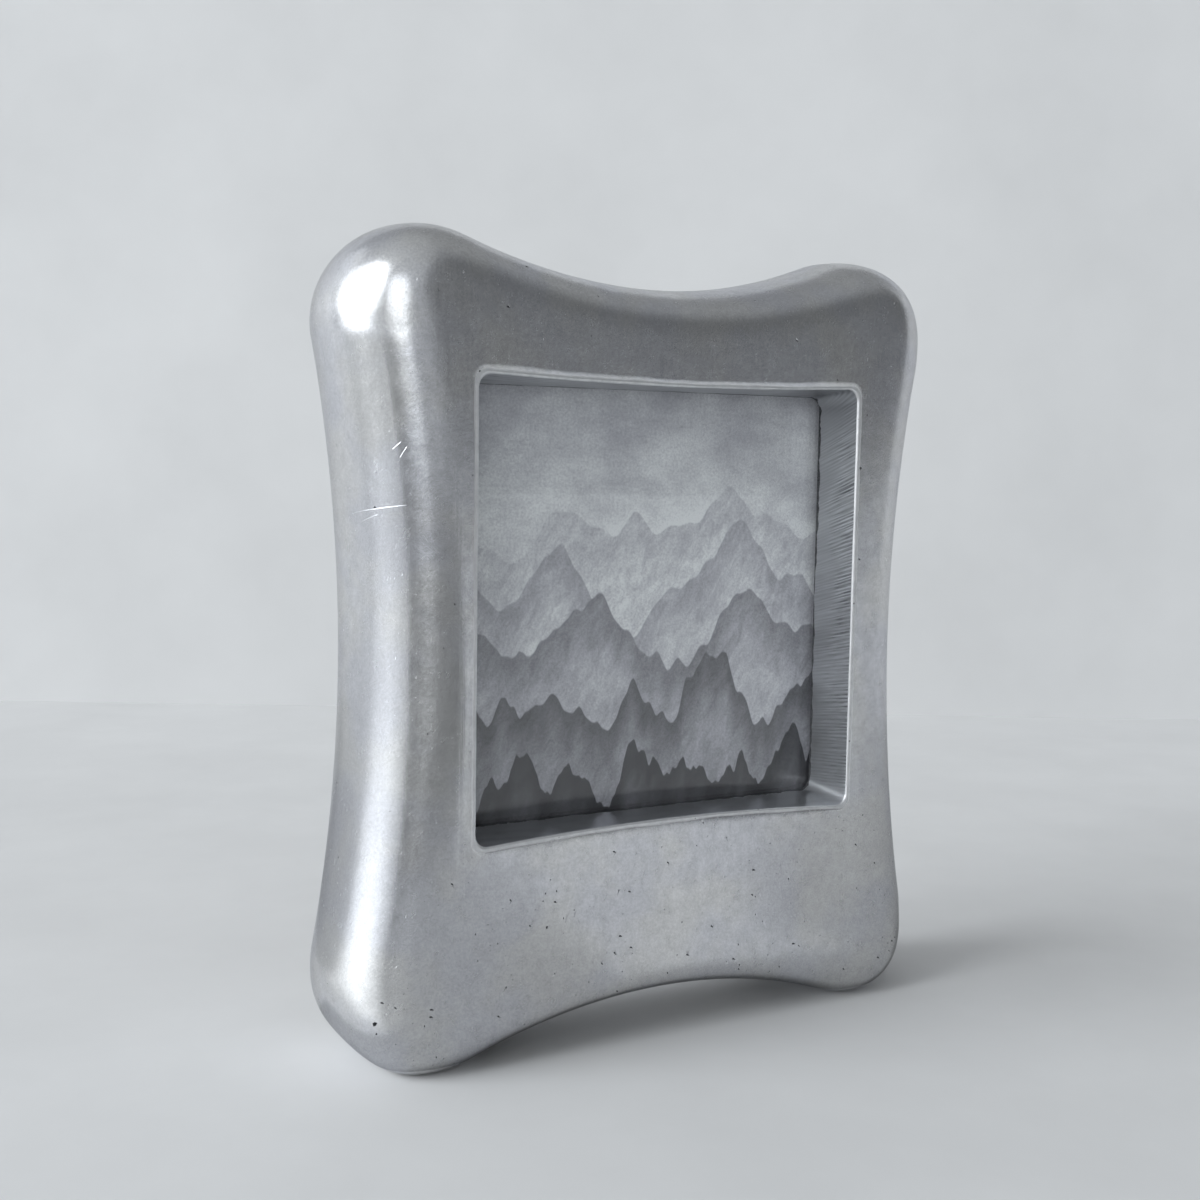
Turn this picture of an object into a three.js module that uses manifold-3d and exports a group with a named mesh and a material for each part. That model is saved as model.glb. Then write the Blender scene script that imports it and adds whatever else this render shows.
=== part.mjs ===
// Cast aluminium photo frame that stands on its own two lower lobes. A glazed square print sits
// in a rebate behind a drafted window, kept there by a back panel and four turn buttons.
// Millimetres, +Z up, front facing -Y, origin on the ground under the middle of the frame.
import * as THREE from 'three';
import { mergeVertices } from 'three/addons/utils/BufferGeometryUtils.js';
import Module from 'manifold-3d';

const wasm = await Module();
wasm.setup();

// What the frame holds
const PRINT_SIZE = 88.9; // square print, 3 1/2 in
const PRINT_THICKNESS = 0.25;
const GLASS_MARGIN = 0.25; // glass and panel past the print on each side
const GLASS_THICKNESS = 2;
const CARD_THICKNESS = 1.5;
const PANEL_THICKNESS = 3;

// Clearances
const LAY_GAP = 0.1; // air between flat pieces laid on each other
const RUN_GAP = 0.25; // air on each face of a turning button
const FIT_GAP = 0.3; // air round a piece in its rebate or a shank in its hole
const CUT_OVER = 1; // how far a cutter runs past the face that it opens

// Window in the casting
const LEDGE_DEPTH = 10.8; // front face to the ledge that carries the glass
const SIGHT_COVER_SIDE = 5.35; // print hidden behind each side ledge
const SIGHT_COVER_TOP = 4.6; // print hidden behind the top and bottom ledges
const WINDOW_DRAFT = 1.4; // each wall opens by this much from the ledge to the front
const WINDOW_CORNER = 2.5;
const WINDOW_BOW_TOP = 1; // front edges dip towards the middle of the window
const WINDOW_BOW_BOTTOM = 1.6;
const LIP = 0.8; // worn bevel round the front edge of the window

// Casting behind the glass
const RIM_WALL = 7.5; // outline to the rear well
const SIDE_LAND = 5.5; // land between the rebate and the well, at the middle of each side
const TOP_LAND = 6.75;
const BOTTOM_LAND = 21.55;
const WELL_DEPTH = 12;
const WELL_DRAFT = 0.6;

// Outline and edges of the casting
const LOBE_RADIUS = 17.3;
const SIDE_SAG = 5.25; // each side is drawn in this far between its lobes
const TOP_SAG = 8.35; // the same at the top and at the bottom
const FOOT_CUT = 0.5; // ground off the lower lobes to make two flat feet
const SIDE_ROUND_INSET = 14; // front rounding, measured in from the outline
const TOP_ROUND_INSET = 8;
const BOTTOM_ROUND_INSET = 4.8;
const BOTTOM_ROUND_DEPTH = 9.9; // front rounding of the bottom edge, measured back from the front
const BACK_ROUND_INSET = 5.5;
const BACK_ROUND_DEPTH = 11;
const EDGE_FLAT = 0.5; // straight stretch between the front and back roundings
const MIN_LOBE_FLAT = 1.5; // least radius left to the front face inside a lobe

// Turn buttons and their screws
const BUTTON_SPACING = 54; // between the two pivots of a row
const BUTTON_EYE_RADIUS = 3.5;
const BUTTON_TIP_RADIUS = 2.4;
const BUTTON_REACH = 10.5; // centre of the eye to centre of the tip
const BUTTON_THICKNESS = 1.2;
const BUTTON_BEVEL = 0.2;
const WASHER_RADIUS = 3.1;
const WASHER_THICKNESS = 0.5;
const SHANK_RADIUS = 1.45;
const SHANK_GRIP = 6.5; // length of shank inside the casting
const HEAD_RADIUS = 2.75;
const HEAD_HEIGHT = 1.9;
const HEAD_RIM = 0.6; // straight part of the head below its dome
const CROSS_WIDTH = 0.8;
const CROSS_LENGTH = 3;
const CROSS_DEPTH = 1;

// Facets
const LOBE_STEPS = 14;
const SAG_STEPS = 12;
const ROUND_STEPS = 10;
const CORNER_STEPS = 5;
const BOW_STEPS = 8;
const TURN_STEPS = 24;
const DOME_STEPS = 4;

// Sizes that follow from the driving dimensions
const GLASS_SIZE = PRINT_SIZE + 2 * GLASS_MARGIN;
const REBATE_SIZE = GLASS_SIZE + 2 * FIT_GAP;
const GLASS_DEPTH = LEDGE_DEPTH + LAY_GAP;
const PRINT_DEPTH = GLASS_DEPTH + GLASS_THICKNESS + LAY_GAP;
const CARD_DEPTH = PRINT_DEPTH + PRINT_THICKNESS + LAY_GAP;
const PANEL_DEPTH = CARD_DEPTH + CARD_THICKNESS + LAY_GAP;
const LAND_DEPTH = PANEL_DEPTH + PANEL_THICKNESS;
const DEPTH = LAND_DEPTH + WELL_DEPTH;
const FRONT_ROUND_DEPTH = DEPTH - BACK_ROUND_DEPTH - EDGE_FLAT;
const WAIST_X = REBATE_SIZE / 2 + SIDE_LAND + RIM_WALL;
const WAIST_Z = (REBATE_SIZE + TOP_LAND + BOTTOM_LAND) / 2 + RIM_WALL;
const LOBE_X = WAIST_X + SIDE_SAG - LOBE_RADIUS;
const LOBE_Z = WAIST_Z + TOP_SAG - LOBE_RADIUS;
const MIDDLE_Z = WAIST_Z + TOP_SAG - FOOT_CUT;
const WINDOW_Z = MIDDLE_Z + (BOTTOM_LAND - TOP_LAND) / 2;
const WINDOW_HALF_X = PRINT_SIZE / 2 - SIGHT_COVER_SIDE + WINDOW_DRAFT;
const WINDOW_HALF_Z = PRINT_SIZE / 2 - SIGHT_COVER_TOP + WINDOW_DRAFT;
const PIVOT_RISE = REBATE_SIZE / 2 + FIT_GAP + BUTTON_EYE_RADIUS;
const HEAD_SEAT = 2 * RUN_GAP + BUTTON_THICKNESS + WASHER_THICKNESS + LAY_GAP;

const QUARTER = Math.PI / 2;
const fromFront = (depth) => depth - DEPTH / 2;

// Radius of the concave arc that joins two lobes tangentially.
function sagRadius(lobeCentre, sag) {
  return (lobeCentre ** 2 + (LOBE_RADIUS - sag) ** 2 - LOBE_RADIUS ** 2) / (2 * sag);
}

// The outline as points with their outward normals, counter-clockwise seen from the front:
// four convex lobes joined by four concave arcs.
function outlinePoints() {
  const sideRadius = sagRadius(LOBE_Z, SIDE_SAG);
  const topRadius = sagRadius(LOBE_X, TOP_SAG);
  const sideTurn = Math.atan2(LOBE_Z, WAIST_X + sideRadius - LOBE_X);
  const topTurn = Math.atan2(LOBE_X, WAIST_Z + topRadius - LOBE_Z);
  const points = [];
  const addArc = (centreX, centreZ, radius, from, to, steps) => {
    for (let i = 0; i < steps; i++) {
      const angle = from + (to - from) * i / steps;
      const nx = Math.cos(angle);
      const nz = Math.sin(angle);
      points.push({ x: centreX + radius * nx, z: centreZ + radius * nz, nx, nz });
    }
  };
  for (let quarter = 0; quarter < 4; quarter++) {
    const start = quarter * QUARTER;
    const end = start + QUARTER;
    const towardsTop = quarter % 2 === 0;
    const before = towardsTop ? sideTurn : topTurn;
    const after = towardsTop ? topTurn : sideTurn;
    const lobeX = LOBE_X * Math.sign(Math.cos(start + QUARTER / 2));
    const lobeZ = LOBE_Z * Math.sign(Math.sin(start + QUARTER / 2));
    addArc(lobeX, lobeZ, LOBE_RADIUS, start - before, end + after, LOBE_STEPS);
    const radius = towardsTop ? topRadius : sideRadius;
    const reach = radius + (towardsTop ? WAIST_Z : WAIST_X);
    addArc(reach * Math.cos(end), reach * Math.sin(end), -radius, end + after, end - after, SAG_STEPS);
  }
  return points;
}

// Front rounding at a point of the outline: widest on the sides, tightest under the bottom edge.
function frontRounding(nz) {
  const up = THREE.MathUtils.smoothstep(nz, 0, 1);
  const down = THREE.MathUtils.smoothstep(-nz, 0, 1);
  const { lerp } = THREE.MathUtils;
  const inset = lerp(lerp(SIDE_ROUND_INSET, TOP_ROUND_INSET, up), BOTTOM_ROUND_INSET, down);
  return {
    inset: Math.min(inset, LOBE_RADIUS - MIN_LOBE_FLAT),
    depth: lerp(FRONT_ROUND_DEPTH, BOTTOM_ROUND_DEPTH, down),
  };
}

// One ring of the loft: the outline drawn in by an inset, each point at its own depth.
function ring(points, place) {
  return points.map((p) => {
    const { inset, depth } = place(p);
    return new THREE.Vector3(p.x - p.nx * inset, fromFront(depth), MIDDLE_Z + p.z - p.nz * inset);
  });
}

// A closed body through rings that run from front to back, with flat ends.
function loft(rings) {
  const count = rings[0].length;
  const vertices = rings.flat();
  const index = [];
  for (let r = 0; r + 1 < rings.length; r++) {
    for (let i = 0; i < count; i++) {
      const a = r * count + i;
      const b = r * count + (i + 1) % count;
      index.push(a, a + count, b + count, a, b + count, b);
    }
  }
  const flat = (points) => points.map((p) => new THREE.Vector2(p.x, p.z));
  const last = (rings.length - 1) * count;
  for (const [a, b, c] of THREE.ShapeUtils.triangulateShape(flat(rings[0]), [])) {
    index.push(a, b, c);
  }
  for (const [a, b, c] of THREE.ShapeUtils.triangulateShape(flat(rings.at(-1)), [])) {
    index.push(last + a, last + c, last + b);
  }
  const geometry = new THREE.BufferGeometry().setFromPoints(vertices);
  geometry.setIndex(index);
  return geometry;
}

// Closed geometry to a solid that can be joined and cut.
function solid(geometry) {
  const bare = new THREE.BufferGeometry();
  bare.setAttribute('position', geometry.getAttribute('position'));
  bare.setIndex(geometry.getIndex());
  const merged = mergeVertices(bare);
  return new wasm.Manifold(new wasm.Mesh({
    numProp: 3,
    vertProperties: new Float32Array(merged.getAttribute('position').array),
    triVerts: new Uint32Array(merged.getIndex().array),
  }));
}

function geometryOf(manifold) {
  const { vertProperties, triVerts } = manifold.getMesh();
  const geometry = new THREE.BufferGeometry();
  geometry.setAttribute('position', new THREE.BufferAttribute(vertProperties, 3));
  geometry.setIndex(new THREE.BufferAttribute(triVerts, 1));
  geometry.computeVertexNormals();
  return geometry;
}

// Box between two depths, centred on x = 0 and on a height.
function slab(sizeX, sizeZ, depthFrom, depthTo, centreZ) {
  const box = new THREE.BoxGeometry(sizeX, depthTo - depthFrom, sizeZ);
  return box.translate(0, fromFront((depthFrom + depthTo) / 2), centreZ);
}

// The outer skin: elliptical front rounding, a short straight edge, elliptical back rounding.
function castingBlank(points) {
  const rings = [];
  for (let i = 0; i <= ROUND_STEPS; i++) {
    const angle = QUARTER * i / ROUND_STEPS;
    rings.push(ring(points, (p) => {
      const round = frontRounding(p.nz);
      return { inset: round.inset * (1 - Math.sin(angle)), depth: round.depth * (1 - Math.cos(angle)) };
    }));
  }
  for (let i = 0; i <= ROUND_STEPS; i++) {
    const angle = QUARTER * i / ROUND_STEPS;
    const inset = BACK_ROUND_INSET * (1 - Math.cos(angle));
    const depth = DEPTH - BACK_ROUND_DEPTH * (1 - Math.sin(angle));
    rings.push(ring(points, () => ({ inset, depth })));
  }
  return loft(rings);
}

// One ring of the window: a rectangle with round corners, grown all round, whose top and bottom
// edges dip towards the middle by a share of the bow.
function windowRing(grow, bowShare, depth) {
  const halfX = WINDOW_HALF_X + grow;
  const halfZ = WINDOW_HALF_Z + grow;
  const cornerX = halfX - WINDOW_CORNER;
  const cornerZ = halfZ - WINDOW_CORNER;
  const outline = [];
  for (let quarter = 0; quarter < 4; quarter++) {
    const start = quarter * QUARTER;
    const signX = Math.sign(Math.cos(start + QUARTER / 2));
    const signZ = Math.sign(Math.sin(start + QUARTER / 2));
    for (let i = 0; i <= CORNER_STEPS; i++) {
      const angle = start + QUARTER * i / CORNER_STEPS;
      const x = signX * cornerX + WINDOW_CORNER * Math.cos(angle);
      const z = signZ * cornerZ + WINDOW_CORNER * Math.sin(angle);
      outline.push([x, z]);
    }
    const alongX = quarter % 2 === 0;
    for (let i = 1; alongX && i < BOW_STEPS; i++) {
      outline.push([signX * cornerX * (1 - 2 * i / BOW_STEPS), signZ * halfZ]);
    }
  }
  return outline.map(([x, z]) => {
    const bow = (z > 0 ? -WINDOW_BOW_TOP : WINDOW_BOW_BOTTOM) * bowShare * (1 - (x / halfX) ** 2);
    const bowed = Math.abs(z) > cornerZ ? z + bow : z;
    return new THREE.Vector3(x, fromFront(depth), WINDOW_Z + bowed);
  });
}

function windowCutter() {
  return loft([
    windowRing(LIP + CUT_OVER, 1, -CUT_OVER),
    windowRing(0, 1, LIP),
    windowRing(-WINDOW_DRAFT, 0, LEDGE_DEPTH),
    windowRing(-WINDOW_DRAFT, 0, LEDGE_DEPTH + CUT_OVER),
  ]);
}

function wellCutter(points) {
  return loft([
    ring(points, () => ({ inset: RIM_WALL + WELL_DRAFT, depth: LAND_DEPTH })),
    ring(points, () => ({ inset: RIM_WALL, depth: DEPTH })),
    ring(points, () => ({ inset: RIM_WALL, depth: DEPTH + CUT_OVER })),
  ]);
}

// The four places where a button turns, with the way that it points when it is shut.
function pivots() {
  const places = [];
  for (const [row, rise, turn] of [['top', PIVOT_RISE, 0], ['bottom', -PIVOT_RISE, Math.PI]]) {
    for (const [column, side] of [['left', -1], ['right', 1]]) {
      places.push({
        name: `${row}_${column}`,
        turn,
        position: new THREE.Vector3(side * BUTTON_SPACING / 2, fromFront(LAND_DEPTH), WINDOW_Z + rise),
      });
    }
  }
  return places;
}

function pilotCutter(pivot) {
  const length = SHANK_GRIP + FIT_GAP + CUT_OVER;
  const radius = SHANK_RADIUS + FIT_GAP;
  const hole = new THREE.CylinderGeometry(radius, radius, length, TURN_STEPS);
  const { x, y, z } = pivot.position;
  return hole.translate(x, y + CUT_OVER - length / 2, z);
}

function footCutter() {
  const width = 2 * (LOBE_X + LOBE_RADIUS + CUT_OVER);
  const height = FOOT_CUT + CUT_OVER;
  return slab(width, height, -CUT_OVER, DEPTH + CUT_OVER, -height / 2);
}

function castingGeometry() {
  const points = outlinePoints();
  const rebate = slab(REBATE_SIZE, REBATE_SIZE, LEDGE_DEPTH, LAND_DEPTH + CUT_OVER, WINDOW_Z);
  const cutters = [windowCutter(), rebate, wellCutter(points), footCutter(), ...pivots().map(pilotCutter)];
  let casting = solid(castingBlank(points));
  for (const cutter of cutters) {
    casting = casting.subtract(solid(cutter));
  }
  return geometryOf(casting);
}

// Drop-shaped turn button: an eye round the screw that tapers to a round tip, lying on y = 0
// and pointing down.
function buttonGeometry() {
  const taper = Math.asin((BUTTON_EYE_RADIUS - BUTTON_TIP_RADIUS) / BUTTON_REACH);
  const shape = new THREE.Shape();
  shape.absarc(0, 0, BUTTON_EYE_RADIUS, -taper, Math.PI + taper, false);
  shape.absarc(0, -BUTTON_REACH, BUTTON_TIP_RADIUS, Math.PI + taper, 2 * Math.PI - taper, false);
  shape.closePath();
  const eye = new THREE.Path();
  eye.absarc(0, 0, SHANK_RADIUS + FIT_GAP, 0, 2 * Math.PI, true);
  shape.holes.push(eye);
  const button = new THREE.ExtrudeGeometry(shape, {
    depth: BUTTON_THICKNESS - 2 * BUTTON_BEVEL,
    bevelThickness: BUTTON_BEVEL,
    bevelSize: BUTTON_BEVEL,
    bevelOffset: -BUTTON_BEVEL,
    bevelSegments: 1,
    curveSegments: TURN_STEPS / 2,
  });
  button.rotateX(QUARTER);
  button.translate(0, BUTTON_THICKNESS - BUTTON_BEVEL, 0);
  return geometryOf(solid(button));
}

function washerGeometry() {
  const bore = SHANK_RADIUS + FIT_GAP;
  const profile = [
    [bore, 0],
    [WASHER_RADIUS, 0],
    [WASHER_RADIUS, WASHER_THICKNESS],
    [bore, WASHER_THICKNESS],
    [bore, 0],
  ];
  return geometryOf(solid(new THREE.LatheGeometry(profile.map((p) => new THREE.Vector2(...p)), TURN_STEPS)));
}

// Pan-head screw with a cross recess, its head seated on y = 0 and its shank running to -y.
function screwGeometry() {
  const profile = [
    [0, -SHANK_GRIP - HEAD_SEAT],
    [SHANK_RADIUS, -SHANK_GRIP - HEAD_SEAT + SHANK_RADIUS],
    [SHANK_RADIUS, 0],
    [HEAD_RADIUS, 0],
  ];
  for (let i = 0; i <= DOME_STEPS; i++) {
    const angle = QUARTER * i / DOME_STEPS;
    const radius = i === DOME_STEPS ? 0 : HEAD_RADIUS * Math.cos(angle);
    profile.push([radius, HEAD_RIM + (HEAD_HEIGHT - HEAD_RIM) * Math.sin(angle)]);
  }
  const lathe = new THREE.LatheGeometry(profile.map((p) => new THREE.Vector2(...p)), TURN_STEPS);
  let screw = solid(lathe);
  for (const [sizeX, sizeZ] of [[CROSS_LENGTH, CROSS_WIDTH], [CROSS_WIDTH, CROSS_LENGTH]]) {
    const slot = new THREE.BoxGeometry(sizeX, 2 * CROSS_DEPTH, sizeZ);
    screw = screw.subtract(solid(slot.translate(0, HEAD_HEIGHT, 0)));
  }
  return geometryOf(screw);
}

// Finishes
const finish = (color, roughness, metalness) => () => (
  new THREE.MeshStandardMaterial({ color, roughness, metalness })
);
const castAluminium = finish(0xb9bbc0, 0.32, 1);
const printPaper = finish(0x8d9096, 0.7, 0);
const greyCard = finish(0x9a948a, 0.9, 0);
const hardboard = finish(0x6b4a32, 0.8, 0);
const brassPlate = finish(0xb08d4c, 0.35, 1);
const zincSteel = finish(0xa9adb0, 0.35, 1);
const clearGlass = () => new THREE.MeshStandardMaterial({
  color: 0xdfe8ea,
  roughness: 0.05,
  metalness: 0,
  transparent: true,
  opacity: 0.35,
});

function mesh(name, geometry, material) {
  const piece = new THREE.Mesh(geometry, material());
  piece.name = name;
  return piece;
}

// A square piece of the stack behind the window.
function leaf(name, size, depth, thickness, material) {
  return mesh(name, slab(size, size, depth, depth + thickness, WINDOW_Z), material);
}

// A turn button with its washer and screw, standing on the land at one pivot.
function fixing(pivot) {
  const group = new THREE.Group();
  group.position.copy(pivot.position);
  group.rotation.y = pivot.turn;
  const button = mesh(`turn_button_${pivot.name}`, buttonGeometry(), brassPlate);
  button.position.y = RUN_GAP;
  const washer = mesh(`button_washer_${pivot.name}`, washerGeometry(), zincSteel);
  washer.position.y = 2 * RUN_GAP + BUTTON_THICKNESS;
  const screw = mesh(`button_screw_${pivot.name}`, screwGeometry(), zincSteel);
  screw.position.y = HEAD_SEAT;
  group.add(button, washer, screw);
  return group;
}

const photoFrame = new THREE.Group();
photoFrame.name = 'photo_frame';
photoFrame.add(
  mesh('frame_casting', castingGeometry(), castAluminium),
  leaf('glazing_pane', GLASS_SIZE, GLASS_DEPTH, GLASS_THICKNESS, clearGlass),
  leaf('photo_print', PRINT_SIZE, PRINT_DEPTH, PRINT_THICKNESS, printPaper),
  leaf('backing_card', PRINT_SIZE, CARD_DEPTH, CARD_THICKNESS, greyCard),
  leaf('back_panel', GLASS_SIZE, PANEL_DEPTH, PANEL_THICKNESS, hardboard),
  ...pivots().map(fixing),
);

export default photoFrame;
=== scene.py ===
"""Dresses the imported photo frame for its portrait. Metres, +Z up, the window facing -Y."""

import logging
import math
from collections.abc import Mapping, Sequence
from dataclasses import dataclass, field
from enum import Enum

import bmesh
import bpy
import numpy as np
from mathutils import Matrix, Vector


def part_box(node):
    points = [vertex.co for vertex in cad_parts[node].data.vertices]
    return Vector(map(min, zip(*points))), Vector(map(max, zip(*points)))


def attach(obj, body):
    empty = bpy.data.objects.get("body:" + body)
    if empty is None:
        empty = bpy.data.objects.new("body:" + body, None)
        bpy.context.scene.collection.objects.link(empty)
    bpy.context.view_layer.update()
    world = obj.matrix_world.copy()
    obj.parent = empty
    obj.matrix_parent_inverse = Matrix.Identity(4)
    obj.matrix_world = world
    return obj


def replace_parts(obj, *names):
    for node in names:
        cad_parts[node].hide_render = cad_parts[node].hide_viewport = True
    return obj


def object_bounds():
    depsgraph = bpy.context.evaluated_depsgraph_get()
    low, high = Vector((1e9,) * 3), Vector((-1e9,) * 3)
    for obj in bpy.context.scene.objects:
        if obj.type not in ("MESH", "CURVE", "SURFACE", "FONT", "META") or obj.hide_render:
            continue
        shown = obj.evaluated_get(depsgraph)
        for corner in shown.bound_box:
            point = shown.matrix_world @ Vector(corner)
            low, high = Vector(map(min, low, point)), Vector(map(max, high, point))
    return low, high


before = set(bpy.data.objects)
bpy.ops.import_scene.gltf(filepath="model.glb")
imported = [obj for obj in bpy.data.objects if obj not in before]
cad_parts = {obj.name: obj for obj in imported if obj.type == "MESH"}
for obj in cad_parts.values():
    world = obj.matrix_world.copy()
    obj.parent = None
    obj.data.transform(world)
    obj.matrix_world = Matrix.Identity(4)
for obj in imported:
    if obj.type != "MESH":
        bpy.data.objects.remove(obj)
cad_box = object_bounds()

# Constants and types
LOG = logging.getLogger("photo_frame")
MM = 0.001
QUARTER = math.pi / 2
NOISE_SPAN = (0.3, 0.7)
SPECK_EDGE = 0.4
CARD_LIFT = 0.002

Pair = tuple[float, float]
Triple = tuple[float, float, float]
Four = tuple[float, float, float, float]
Colour = Triple
Numbers = Sequence[float]
Ring = np.ndarray
Depth = float | np.ndarray
Socket = bpy.types.NodeSocket
Material = bpy.types.Material
Mesh = bpy.types.Mesh
Piece = bpy.types.Object
Inputs = Mapping[str | int, object]


class Zone(Enum):
    """The finishes that meet on the casting, by the number kept on its faces."""

    POLISHED = 0
    LIP = 1
    FILED = 2
    AS_CAST = 3
    # The window's rough back edge, painted dark as shade of the gap at the glass
    RAW_EDGE = 4


class Corner(Enum):
    """The four places where a button turns, with the half turn of the lower row."""

    TOP_LEFT = ("top_left", 0.0)
    TOP_RIGHT = ("top_right", 0.0)
    BOTTOM_LEFT = ("bottom_left", math.pi)
    BOTTOM_RIGHT = ("bottom_right", math.pi)

    def __init__(self, label: str, turn: float) -> None:
        """Keep the name used by the frame's nodes and the turn about Y."""
        self.label = label
        self.turn = turn

    def pivot(self) -> Pair:
        """Where the button's screw stands, across and up."""
        low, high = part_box(f"button_screw_{self.label}")
        return (low.x + high.x) / 2, (low.z + high.z) / 2


# Node trees
class NodeBoard:
    """A node tree under construction, with one call to add, set and join a node."""

    def __init__(self, tree: bpy.types.NodeTree) -> None:
        """Keep the tree that nodes are added to."""
        self.tree = tree

    def join(self, source: Socket, target: Socket) -> None:
        """Lead one socket into another."""
        self.tree.links.new(source, target)

    def feed(self, socket: Socket, value: object) -> None:
        """Set a socket to a value, or lead another socket into it.

        Args:
            socket: The socket.
            value: Its value, or the socket that feeds it.
        """
        if isinstance(value, Socket):
            self.join(value, socket)
        else:
            socket.default_value = value

    def add(self, kind: str, inputs: Inputs | None = None, **settings: object) -> bpy.types.Node:
        """Add a node.

        Args:
            kind: Blender's name of the node type.
            inputs: Socket name or number, with its value, the socket that feeds it or a list of such sockets.
            settings: Properties of the node itself.

        Returns:
            The new node.
        """
        node = self.tree.nodes.new(kind)
        for key, value in settings.items():
            setattr(node, key, value)
        for key, value in (inputs or {}).items():
            for source in value if isinstance(value, list) else [value]:
                self.feed(node.inputs[key], source)
        return node

    def out(self, kind: str, inputs: Inputs | None = None, **settings: object) -> Socket:
        """Add a node and give its first output."""
        return self.add(kind, inputs, **settings).outputs[0]

    def math(self, operation: str, first: object, second: object = 0.0, clamp: bool = False) -> Socket:
        """Combine two numbers.

        Args:
            operation: Blender's name of the operation.
            first: A number or the socket that feeds it.
            second: The same for the second number.
            clamp: True to keep the result between 0 and 1.

        Returns:
            The socket with the result.
        """
        return self.out("ShaderNodeMath", {0: first, 1: second}, operation=operation, use_clamp=clamp)

    def plus(self, first: object, second: object) -> Socket:
        """The sum of two numbers."""
        return self.math("ADD", first, second)

    def minus(self, first: object, second: object) -> Socket:
        """The first number less the second."""
        return self.math("SUBTRACT", first, second)

    def times(self, first: object, *others: object) -> Socket:
        """The product of two or more numbers."""
        for other in others:
            first = self.math("MULTIPLY", first, other)
        return first

    def weigh(self, first: Socket, second: Socket, shares: Pair) -> Socket:
        """The sum of two numbers, each times its share."""
        return self.plus(self.times(first, shares[0]), self.times(second, shares[1]))

    def fade(self, share: Socket, first: Socket, second: Socket) -> Socket:
        """A number between two others, by the share of the second one."""
        return self.out("ShaderNodeMix", {0: share, 2: first, 3: second}, data_type="FLOAT")

    def axes(self, vector: Socket) -> list[Socket]:
        """The X, Y and Z of a vector."""
        return list(self.add("ShaderNodeSeparateXYZ", {0: vector}).outputs)

    def spread(self, value: Socket, source: Numbers, target: Numbers, soft: bool = True) -> Socket:
        """Map a number from one range to another, held at both ends.

        Args:
            value: The number.
            source: Where it runs from and to.
            target: What those become.
            soft: True for a smooth start and end.

        Returns:
            The socket with the mapped number.
        """
        inputs = {"Value": value, 1: source[0], 2: source[1], 3: target[0], 4: target[1]}
        return self.out("ShaderNodeMapRange", inputs, interpolation_type="SMOOTHSTEP" if soft else "LINEAR")


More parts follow.
